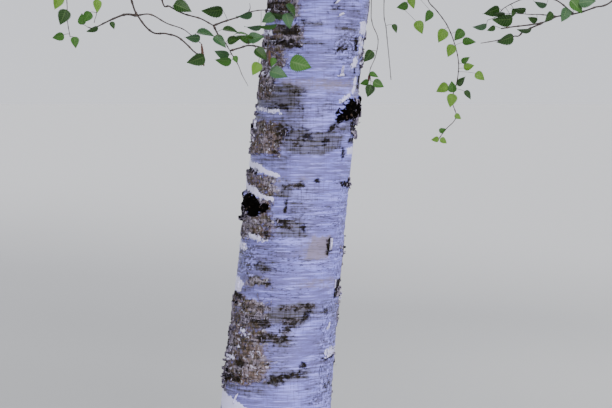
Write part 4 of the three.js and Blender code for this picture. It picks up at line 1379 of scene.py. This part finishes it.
def bark_material(colours):
    """Silver birch bark: papery white outer bark that weathers in sheets. It gives a satin white with a painted
    lilac-blue cast of shade under a blue sky, ruled with fine lines round the trunk, torn to brown cork and
    dark scars that take no shine."""
    material, tree, shader = new_material("Silver birch bark", colours.bark_white, 0.62, 0.35)
    node = partial(add_node, tree)
    place = node("TexCoord", output="Object")
    level = node("SeparateXYZ", (place,), output="Z")
    pattern = partial(grains, tree, place, roughness=0.6)

    patches = pattern((70, 70, 40), 1.3)
    grain = pattern((20, 20, 9), 5.1, 5.0)
    dapple = pattern((9, 9, 7), 6.6, 4.0)
    sheets = pattern((140, 140, 45), 2.2)
    # Lines that run round the trunk, from 2 mm to 6 mm apart, and faint ones that run up it
    lines = pattern((80, 80, 4.6), 3.7)
    hairs = pattern((34, 34, 2.6), 7.9, 2.0)
    upright = pattern((4, 4, 60), 2.8, 2.0)
    # Breathing pores: dark dashes 10 to 40 mm long and 2 mm high, and shorter ones in the ruled marks
    pores = pattern((24, 24, 3.2), 9.4, 1.5)
    dashes = pattern((13, 13, 3.4), 7.1)
    fibres = pattern((5, 5, 12), 4.6, 5.0)
    cork = pattern((13, 13, 10), 8.8, 5.0)

    def together(*patterns):
        """Patterns added up, and brought back to run round a half."""
        total = patterns[0]
        for other in patterns[1:]:
            total = node("Math", (total, other), operation="ADD")
        return node("Math", (total, (len(patterns) - 1) / 2), operation="SUBTRACT")

    def ragged(name, torn_by, amount, low=0.44, high=0.56):
        """A field's mask, with its edge and, where the field is weak, all of it torn by a pattern. It holds
        where the field, the pattern's pull to either side and a bar against empty places pass `low`."""
        field = node("Attribute", output="Fac", attribute_name=name)
        pulled = node("Math", (torn_by, amount, field), operation="MULTIPLY_ADD")
        present = node("MapRange", (field, 0.0, 0.15), **SMOOTH_STEP)
        held = node("Math", (pulled, present), operation="ADD")
        bar = 1 + amount / 2
        return node("MapRange", (held, low + bar, high + bar), **SMOOTH_STEP)

    # What tears the marks' edges: blotches and lines, blotches alone, fine scraps, and for the dark marks as
    # much blotch as line
    tear = together(grain, dapple, lines)
    crumble = together(patches, cork, dapple)
    scraps = together(fibres, dapple)
    stains = node("Mix", {0: 0.5, 2: tear, 3: crumble})

    tan = ragged("tan", tear, 0.9, 0.15, 0.95)
    rough = ragged("rough", crumble, 1.1, 0.30, 0.86)
    cracked = ragged("speckle", sheets, 0.3)
    dark = ragged("dark", stains, 1.8, 0.36, 0.86)
    knot = ragged("knot", crumble, 1.6, 0.36, 0.60)

    # White bark: weathered and fresh sheets, younger and whiter well above head height, ruled both ways
    colour = layered(
        tree, colours.bark_white,
        (colours.bark_grey, sheets, 0.42, 0.64, 0.7),
        (colours.bark_lit, sheets, 0.50, 0.34, 0.7),
        (colours.bark_young, level, 1.5, 4.0, 0.75),
        (colours.bark_grey, upright, 0.50, 0.66, 0.55),
        (colours.bark_grey, lines, 0.49, 0.60, 0.95),
        (colours.bark_lit, lines, 0.46, 0.36, 0.9),
        (colours.cork_dark, dashes, 0.55, 0.64, 0.8, ragged("lines", tear, 1.0, 0.3, 0.7)),
    )
    colour = over(tree, colour, colours.bark_tan, tan, 0.84)
    colour = layered(
        tree, colour,
        (colours.bark_shade, hairs, 0.54, 0.66, 0.5),
        (colours.bark_shade, pores, 0.64, 0.72, 0.6),
    )
    # Olive film, which is also painted shade where the faint marks lay it along the trunk's outlines: an even
    # veil that thins out towards its edge, with darker streaks of it both ways
    colour = over(tree, colour, colours.bark_moss, ragged("moss", tear, 0.7, 0.10, 0.95), 0.74)
    streaks = node("Math", [
        node("MapRange", (lined, start, 0.62, 0.0, 0.44), **SMOOTH_STEP)
        for lined, start in ((upright, 0.44), (lines, 0.46))
    ], operation="ADD")
    colour = over(tree, colour, colours.cork_dark, ragged("moss", stains, 1.9, 0.34, 0.95), streaks)
    # Cork: brown, with dark pits, weathered crests and scraps of white bark left on it
    cork_tone = layered(
        tree, colours.cork_brown,
        (colours.cork_grey, patches, 0.45, 0.57, 0.85),
        (colours.bark_moss, grain, 0.46, 0.58, 0.75),
        (colours.cork_red, cork, 0.36, 0.58, 0.6, tan),
        (colours.cork_grey, fibres, 0.52, 0.66, 0.6),
        (colours.cork_dark, upright, 0.48, 0.64, 0.5),
        (colours.cork_dark, fibres, 0.48, 0.38, 0.6),
        (colours.cork_dark, lines, 0.51, 0.61, 0.5),
        (colours.paper, cork, 0.58, 0.67, 0.62),
        (colours.knot, dapple, 0.47, 0.37, 0.85),
    )
    colour = over(tree, colour, cork_tone, rough)
    brown_tone = layered(tree, colours.young_brown, (colours.bark_grey, sheets, 0.50, 0.62, 0.8))
    colour = over(tree, colour, brown_tone, ragged("brown", sheets, 0.9))
    colour = over(tree, colour, colours.paper, ragged("paper", scraps, 1.7, 0.46, 0.56), 0.9)
    # Cracked plates on the weathered side
    colour = layered(
        tree, colour,
        (colours.cork_dark, fibres, 0.53, 0.62, 0.8, cracked),
        (colours.bark_lit, dapple, 0.47, 0.37, 0.8, cracked),
    )
    dark_tone = layered(tree, colours.cork_dark, (colours.knot, fibres, 0.42, 0.56, 0.9))
    colour = over(tree, colour, dark_tone, dark, 0.92)
    knot_tone = layered(tree, colours.knot, (colours.cork_brown, cork, 0.60, 0.70, 0.6))
    colour = over(tree, colour, knot_tone, knot)

    coarse = node("Math", (rough, node("Math", (dark, knot), operation="MAXIMUM")), operation="MAXIMUM")
    for name, satin, matt in (("Roughness", 0.55, 0.95), ("Specular IOR Level", 0.35, 0.02)):
        tree.links.new(node("MapRange", {0: coarse, 3: satin, 4: matt}), shader.inputs[name])
    # Fine relief: knobbly cork where it is rough, and wrinkles round the trunk elsewhere
    knobs = node("Math", (fibres, cork), operation="ADD")
    knobs = node("Math", (knobs, rough), operation="MULTIPLY")
    sunk = node("Math", (knobs, dark), operation="SUBTRACT")
    height = node("Math", (lines, 0.5, sunk), operation="MULTIPLY_ADD")
    finish_shader(tree, shader, colour, height, depth=0.002)
    return material


def mottled_material(name, tones, finish, size, detail, levels):
    """A material of one tone, mottled with another in grains of a size in millimetres. `finish` is its
    roughness and specular level, and `levels` are where the second tone starts and is full."""
    material, tree, shader = new_material(name, tones[0], *finish)
    spots = grains(tree, add_node(tree, "TexCoord", output="Object"), size, detail=detail)
    finish_shader(tree, shader, over(tree, *tones, add_node(tree, "MapRange", (spots, *levels))))
    return material


def paper_material(colours):
    """Peeled birch paper: the inside of the outer bark, dry and thin. It is brighter than the bark around it,
    with a grain 11 mm across and 4 mm high."""
    tones = (colours.paper, colours.cork_grey)
    return mottled_material("Peeled birch paper", tones, (0.7, 0.3), (11, 11, 4), 3.0, (0.42, 0.68))


def cork_material(colours):
    """Birch cork: the dry layer under the white bark, in crumbs 8 mm across. It is black to grey and matt."""
    tones = (colours.knot, colours.cork_grey)
    return mottled_material("Birch cork", tones, (0.95, 0.05), (8, 8, 8), 4.0, (0.40, 0.62))


def twig_material(colours):
    """Birch twig bark: thin and satin, red-brown to black, with a soft shine and pale warts 3 mm apart."""
    if "Birch twig bark" in bpy.data.materials:
        return bpy.data.materials["Birch twig bark"]
    tones = (colours.twig, colours.young_brown)
    return mottled_material("Birch twig bark", tones, (0.45, 0.45), (3, 3, 3), 2.0, (0.55, 0.72))


def young_bark_material(colours):
    """Young birch bark: smooth, thin and glossier than the trunk's, white at the foot of a bough and
    red-brown towards its tip, with pale pores ringed round it."""
    material, tree, shader = new_material("Young birch bark", colours.young_brown, 0.5, 0.4)
    # Pores 12 mm long and 2.6 mm high, round the bough, and patches 45 mm across
    pores = grains(tree, add_node(tree, "UVMap", uv_map="UVMap"), (12, 2.6, 1000), detail=2.0)
    patches = grains(tree, add_node(tree, "TexCoord", output="Object"), (45, 45, 45), detail=4.0)
    age = add_node(tree, "Attribute", output="Fac", attribute_name="age")
    aged = add_node(tree, "Math", (age, patches), operation="ADD")
    colour = layered(
        tree, over(tree, colours.bark_young, colours.bark_shade, patches),
        (colours.young_brown, aged, 0.50, 0.86, 1.0),
        (colours.cork_grey, pores, 0.60, 0.68, 1.0),
    )
    finish_shader(tree, shader, colour, pores, 0.4)
    return material


def crown_leaf_material(name, colour):
    """Birch leaf of one tint: thin, young and slightly waxy, so that it is bright where it faces the light.
    The tint is plain, as the tints are dealt out by spray."""
    return new_material(name, colour, 0.5, 0.3)[0]


def near_leaf_material(name, colour, vein):
    """Birch leaf close to: a waxy blade whose pale midrib and pairs of side veins stand in it."""
    material, tree, shader = new_material(name, colour, 0.45, 0.3)
    node = partial(add_node, tree)
    uv = node("UVMap", uv_map="UVMap")
    across, along = (node("SeparateXYZ", (uv,), output=axis) for axis in ("X", "Y"))
    out = node("Math", (node("Math", (across, 0.5), operation="SUBTRACT"),), operation="ABSOLUTE")
    rib = node("MapRange", (out, 0.05, 0.012), **SMOOTH_STEP)
    # Side veins run forward as they leave the midrib: a wave along the blade, slanted by how far out it is
    slant = node("Math", (out, -0.42, along), operation="MULTIPLY_ADD")
    turn = node("Math", (slant, 2 * math.pi * VEIN_WAVES), operation="MULTIPLY")
    wave = node("Math", (turn,), operation="COSINE")
    side = node("MapRange", (wave, 0.72, 1.0), **SMOOTH_STEP)
    veins = node("Math", (rib, side), operation="MAXIMUM")
    # Paler and darker patches 17 mm across
    patches = grains(tree, node("TexCoord", output="Object"), (17, 17, 17), detail=2.0)
    shade, lit = (tuple(part * share for part in colour) for share in (0.6, 0.95))
    blade = over(tree, shade, lit, patches)
    finish_shader(tree, shader, over(tree, blade, vein, veins, 0.22), veins, 0.5, 0.0006, True)
    return material


def catkin_material(colours):
    """Birch catkin: closed brown scales 2 mm across, dry and matt, redder in their gaps."""
    material, tree, shader = new_material("Birch catkin", colours.catkin, 0.7, 0.3)
    place = add_node(tree, "TexCoord", output="Object")
    scales = add_node(tree, "TexVoronoi", {"Vector": place, "Scale": 1 / (2 * MM)}, "Distance")
    colour = over(tree, colours.catkin, colours.young_brown, scales)
    finish_shader(tree, shader, colour, scales, sunk=True)
    return material


def paint(name, description, code):
    """A colour setting whose default is an sRGB hex value."""
    return FloatVectorProperty(name=name, description=description, subtype="COLOR", size=3, min=0, max=1,
                               default=linear(code))


def measure(name, description, value):
    """A length setting in metres."""
    return FloatProperty(name=name, description=description, default=value, min=0, unit="LENGTH")


class BirchBarkSettings(PropertyGroup):
    """Sizes and colours of the bark."""
    furrow_depth: measure("Furrow depth", "How deep the ridges of rough bark are", 0.0062)
    wrinkle_depth: measure("Wrinkle depth", "How far the fine lines round the trunk stand out", 0.0004)
    # The white, light and grey sheets, the young white and the peeled paper carry a painted lilac-blue cast:
    # the colour of shade under a blue sky
    bark_white: paint("White", "The papery outer bark", "#8383E4")
    bark_lit: paint("Light sheets", "Outer bark where a sheet has peeled lately", "#A19FFF")
    bark_grey: paint("Grey sheets", "Weathered outer bark", "#6B65A4")
    bark_young: paint("Young white", "Outer bark further up the trunk and on the boughs", "#ACADD2")
    bark_shade: paint("Lines", "Fine lines and breathing pores", "#525060")
    bark_tan: paint("Tan", "Pinkish inner layers", "#877B8E")
    # The film's tone, whose veil is also the painted shade along the trunk's sides
    bark_moss: paint("Moss grey", "Greenish film on old bark", "#504B39")
    cork_dark: paint("Cork, dark", "The furrows' depths", "#262117")
    cork_brown: paint("Cork, brown", "Furrowed cork", "#685851")
    cork_red: paint("Cork, red", "Dry fibres where the cork has torn off lately", "#816C67")
    cork_grey: paint("Cork, grey", "The ridges' weathered tops", "#9E94AA")
    knot: paint("Knot", "Black knots and cracks", "#050403")
    paper: paint("Peeled paper", "Freshly torn edges", "#DEDAFF")
    young_brown: paint("Young bark", "Boughs' ends and the top of the trunk", "#49332B")


class BirchTwigSettings(PropertyGroup):
    """Sizes and colours of the twigs."""
    twig_spacing: measure("Spacing", "How far apart the hanging twigs leave a limb", 0.062)
    side_spacing: FloatProperty(name="Side spacing", description="Between side twigs, in spacings of the "
                                "hanging twigs", default=3.2, min=0.5)
    twig_least: measure("Shortest fall", "How far the shortest hanging twig falls", 0.35)
    twig_most: measure("Longest fall", "How far the longest hanging twig falls", 1.9)
    twig_radius: measure("Radius", "Radius of a hanging twig at its foot", 0.0024)
    twig: paint("Twig bark", "Red-brown to black", "#2A1E1A")
    young_brown: paint("Warts", "Paler warts on the twigs", "#654E42")
    catkin: paint("Catkin", "Closed scales", "#542A1E")


class BirchLeafSettings(PropertyGroup):
    """Sizes and colours of the leaves."""
    leaf_length: measure("Length", "Length of a crown leaf, a little larger than life", 0.062)
    stalk_length: measure("Stalk", "How far a leaf stands off its twig", 0.015)
    leaves_per_metre: IntProperty(name="Leaves per metre", description="Along the twigs", default=31, min=1)
    deep: paint("Deep green", "Leaves in their full green", "#234714")
    grey: paint("Grey green", "Leaves that show their pale underside", "#406642")
    fresh: paint("Fresh green", "Leaves of this spring", "#396B1D")
    bright: paint("Bright green", "The youngest leaves", "#6C9A2E")
    olive: paint("Olive green", "Leaves on the shaded side", "#355220")
    vein: paint("Veins", "Midrib and side veins", "#82A25F")


class BirchStageSettings(PropertyGroup):
    """The plain studio round the tree."""
    floor_size: measure("Floor", "Width of the floor, which reaches past the view from far off", 900.0)
    floor_colour: paint("Floor colour", "Plain pale floor", "#BDBDBE")
    sky_colour: paint("Studio light", "Soft light from all round", "#EEF0F8")


class BIRCH_OT_stage(Operator):
    """Sets the plain floor, the soft studio light and the photograph's camera"""
    bl_idname = "birch.stage"
    bl_label = "Studio"

    def execute(self, context):
        settings = context.scene.birch_stage
        half = settings.floor_size / 2
        corners = np.array([[-half, -half, 0], [half, -half, 0], [half, half, 0], [-half, half, 0]])
        # Matt paper: an even, shadow-catching floor
        material = new_material("Matt studio floor", settings.floor_colour, 0.95, 0.1)[0]
        floor = make_piece("studio_floor", corners, [np.array([[0, 1, 2, 3]])], material)

        world = bpy.data.worlds.new("Soft studio")
        world.use_nodes = True
        background = world.node_tree.nodes["Background"]
        background.inputs["Color"].default_value = (*settings.sky_colour, 1)
        background.inputs["Strength"].default_value = SKY_STRENGTH
        context.scene.world = world

        for name, lean, turn, width, strength in LAMPS:
            sun = bpy.data.lights.new(name, "SUN")
            sun.energy = strength
            sun.angle = math.radians(width)
            lamp = bpy.data.objects.new(name, sun)
            lamp.rotation_euler = (math.radians(lean), 0, math.radians(turn))
            context.scene.collection.objects.link(lamp)

        lens = bpy.data.cameras.new("Camera")
        lens.lens = CAMERA_LENS
        lens.sensor_width = SENSOR_WIDTH
        lens.clip_end = CLIP_END
        camera = bpy.data.objects.new("Camera", lens)
        camera.location = CAMERA_PLACE
        camera.rotation_euler = (math.pi / 2 - CAMERA_PITCH, 0, 0)
        context.scene.collection.objects.link(camera)
        context.scene.camera = camera
        return {"FINISHED"}


class BIRCH_OT_trunk(Operator):
    """Lays the bark's surface over the whole trunk, in a fine lower and a coarser upper piece"""
    bl_idname = "birch.trunk"
    bl_label = "Trunk bark"

    def execute(self, context):
        settings = context.scene.birch_bark
        generator = np.random.default_rng(BARK_SEED)
        behind = round_marks(generator, ROUND_MARKS, ROUND_MARKS_START, LOWER_TRUNK_TOP, False)
        above = round_marks(generator, UPPER_MARKS, LOWER_TRUNK_TOP, TRUNK_LENGTH, True)
        marks = front_marks() + behind + above + scar_marks()
        material = bark_material(settings)
        stretches = (
            ("trunk_bark_lower", 0.0, LOWER_TRUNK_TOP, LOWER_COLUMNS, LOWER_ROWS),
            ("trunk_bark_upper", LOWER_TRUNK_TOP, TRUNK_LENGTH, UPPER_COLUMNS, UPPER_ROWS),
        )
        for name, low, high, columns, rows in stretches:
            points, faces, fields = trunk_surface(low, high, columns, rows, marks, settings)
            piece = make_piece(name, points, faces, material, fields, sharp_faces=2 * columns)
            dress(piece, ["trunk"])
        return {"FINISHED"}


class BIRCH_OT_curls(Operator):
    """Rolls up torn strips of bark along the trunk"""
    bl_idname = "birch.curls"
    bl_label = "Bark curls"

    def execute(self, context):
        settings = context.scene.birch_bark
        curls = []
        for across, height, length, radius, tilt, rolled in FRONT_CURLS:
            angle, level = on_front(across * MM, height * MM)
            angle = max(min(angle, CURL_OUTMOST), -CURL_OUTMOST) - math.pi / 2
            tilt, rolled = math.radians(tilt), math.radians(rolled)
            curls.append(place_curl(angle, level, length * MM, radius * MM, tilt, rolled, CURL_STEPS))
        generator = np.random.default_rng(BARK_SEED + 1)
        for _ in range(ROUND_CURLS):
            height = CURLS_START + CURLS_REACH * generator.random() ** 1.3
            # Behind the trunk where the front has its own, and anywhere round it further up
            round_trunk = BEHIND if height < LOWER_TRUNK_TOP else ANYWHERE
            curls.append(place_curl(
                generator.uniform(*round_trunk), height, generator.uniform(*CURL_LENGTHS),
                generator.uniform(*CURL_RADII), generator.choice(CURL_TILTS), generator.uniform(*CURL_TURNS),
                CURL_STEPS,
            ))
        points, faces = join(curls)
        dress(make_piece("bark_curls", points, faces, paper_material(settings)))
        again = np.random.default_rng(BARK_SEED)
        behind = round_marks(again, ROUND_MARKS, ROUND_MARKS_START, LOWER_TRUNK_TOP, False)
        points, faces = join(scatter_flakes(generator, front_marks() + behind) + edge_flakes(generator))
        dress(make_piece("cork_flakes", points, faces, cork_material(settings)))
        return {"FINISHED"}


class BIRCH_OT_boughs(Operator):
    """Lays young bark over each bough"""
    bl_idname = "birch.boughs"
    bl_label = "Boughs"

    def execute(self, context):
        material = young_bark_material(context.scene.birch_bark)
        for bough in BOUGHS:
            points, faces, uv, age = bough_surface(bough)
            name = bough["name"]
            piece = make_piece(f"{name}_bark", points, faces, material, {"age": age}, uv, sharp_faces=2)
            dress(piece, [name])
        return {"FINISHED"}


class BIRCH_OT_limbs(Operator):
    """Grows the limbs of every mass of foliage and the thin boughs between them"""
    bl_idname = "birch.limbs"
    bl_label = "Crown limbs"

    def execute(self, context):
        limbs = []
        for start, bend, end, heading, foot, tip in sum(SKELETONS.values(), MINOR_LIMBS):
            points = curve(start, bend, end, LIMB_STEPS)[None]
            radii = mix(foot, tip, np.linspace(0, 1, LIMB_STEPS + 1))[None]
            limbs.append(tubes(points, radii, aim(heading + math.pi / 2, 0), sides=6))
        masses = [mass["name"] for mass in MASSES]
        piece = make_piece("crown_limbs", *join(limbs), twig_material(context.scene.birch_twigs))
        dress(piece, masses)
        return {"FINISHED"}


class BIRCH_OT_twigs(Operator):
    """Grows the crown's hanging twigs and the near sprays beside the trunk's foot"""
    bl_idname = "birch.twigs"
    bl_label = "Twigs"

    def execute(self, context):
        settings = context.scene.birch_twigs
        material = twig_material(settings)
        orders = zip(("hanging_twigs", "side_twigs"), grow_crown(settings), (4, 2), (1.0, SIDE_RADIUS))
        for name, twigs, steps, share in orders:
            points = curve(twigs["start"], twigs["bend"], twigs["end"], steps)
            radii = settings.twig_radius * share * mix(1.0, 0.3, np.linspace(0, 1, steps + 1))
            radii = np.broadcast_to(radii, points.shape[:2])
            corners, faces = tubes(points, radii, aim(twigs["heading"] + math.pi / 2, 0), 3)
            dress(make_piece(name, corners, faces, material))
        routes = near_routes()
        wood = [near_twig_surface(routes[name], radius * MM) for name, (_, radius, _) in NEAR_TWIGS.items()]
        for _, node, root, axes, length in near_blades(routes):
            bend, end = (node + root) / 2 + UP * STALK_ARCH, root + axes[0] * length * STALK_REACH
            stalk = curve(node, bend, end, 5)[None]
            radii = np.full(stalk.shape[:2], STALK_RADIUS)
            wood.append(tubes(stalk, radii, np.array([0.1, 1.0, 0.1]), sides=5))
        dress(make_piece("near_twigs", *join(wood), material))
        return {"FINISHED"}


class BIRCH_OT_leaves(Operator):
    """Hangs the leaves on the crown's twigs and on the near sprays, a piece to each tint"""
    bl_idname = "birch.leaves"
    bl_label = "Leaves"

    def execute(self, context):
        settings = context.scene.birch_leaves
        generator = np.random.default_rng(TWIG_SEED + 1)
        orders = grow_crown(context.scene.birch_twigs)
        groups = [leaves_along(generator, twigs, settings) for twigs in orders]
        roots, along, facing, length, tint = (np.concatenate(column) for column in zip(*groups))
        for number, name in enumerate(LEAF_TINTS):
            own = tint == number
            points, faces = crown_leaves(roots[own], along[own], facing[own], length[own])
            material = crown_leaf_material(f"Birch leaf, {name} green", getattr(settings, name))
            dress(make_piece(f"leaves_{name}", points, [faces], material))
        blades = {}
        for number, (name, _, root, axes, size) in enumerate(near_blades(near_routes())):
            blades.setdefault(name, []).append(near_leaf_surface(root, axes, size, number))
        for name, parts in blades.items():
            points, faces, uv = zip(*parts)
            faces = np.vstack([own + i * len(points[0]) for i, own in enumerate(faces)])
            title = f"Birch leaf blade, {name} green"
            material = near_leaf_material(title, getattr(settings, name), settings.vein)
            piece = make_piece(f"near_leaves_{name}", np.vstack(points), [faces], material, uv=np.vstack(uv))
            dress(piece)
        return {"FINISHED"}


class BIRCH_OT_catkins(Operator):
    """Hangs catkins from the tips of the crown's twigs and on the near sprays"""
    bl_idname = "birch.catkins"
    bl_label = "Catkins"

    def execute(self, context):
        settings = context.scene.birch_twigs
        material = catkin_material(settings)
        generator = np.random.default_rng(TWIG_SEED + 2)
        top = grow_crown(settings)[0]["end"]
        top = top[(generator.random(len(top)) < CATKIN_SHARE) & (top[:, 2] > LOWEST_TIP + ROOM_BELOW)]
        tip = top - UP * generator.uniform(*CATKIN_LENGTHS, len(top))[:, None]
        tip[:, 0] += generator.uniform(-CATKIN_SWAY, CATKIN_SWAY, len(top))
        dress(make_piece("catkins", *catkin_surface(top, tip, CATKIN_RADIUS, 5, 5), material))
        hung, routes = [], near_routes()
        for twig, across, height, size, angle in NEAR_CATKINS:
            node = nearest(routes[twig], across * MM, height * MM)
            way = np.array([math.cos(math.radians(angle)), 0, math.sin(math.radians(angle))])
            hung.append(catkin_surface(node, node + way * size * MM, NEAR_CATKIN_RADIUS, 12, 26))
        dress(make_piece("near_catkins", *join(hung), material))
        return {"FINISHED"}


class BIRCH_PT_panel(Panel):
    """Lists the birch's operators and settings in the 3D view's sidebar"""
    bl_idname = "BIRCH_PT_panel"
    bl_label = "Silver birch tree"
    bl_space_type = "VIEW_3D"
    bl_region_type = "UI"
    bl_category = "Birch"

    def draw(self, context):
        for operator in OPERATORS:
            self.layout.operator(operator.bl_idname)
        for name, settings in SETTINGS.items():
            box = self.layout.box()
            for key in settings.__annotations__:
                box.prop(getattr(context.scene, name), key)


SETTINGS = {
    "birch_bark": BirchBarkSettings,
    "birch_twigs": BirchTwigSettings,
    "birch_leaves": BirchLeafSettings,
    "birch_stage": BirchStageSettings,
}
OPERATORS = (
    BIRCH_OT_stage, BIRCH_OT_trunk, BIRCH_OT_curls, BIRCH_OT_boughs, BIRCH_OT_limbs, BIRCH_OT_twigs,
    BIRCH_OT_leaves, BIRCH_OT_catkins,
)


def register():
    for item in (*SETTINGS.values(), *OPERATORS, BIRCH_PT_panel):
        bpy.utils.register_class(item)
    for name, settings in SETTINGS.items():
        setattr(bpy.types.Scene, name, PointerProperty(type=settings))


def unregister():
    for name in SETTINGS:
        delattr(bpy.types.Scene, name)
    for item in reversed((*SETTINGS.values(), *OPERATORS, BIRCH_PT_panel)):
        bpy.utils.unregister_class(item)


def main():
    register()
    for operator in OPERATORS:
        category, name = operator.bl_idname.split(".")
        getattr(getattr(bpy.ops, category), name)()


if __name__ == "__main__":
    main()
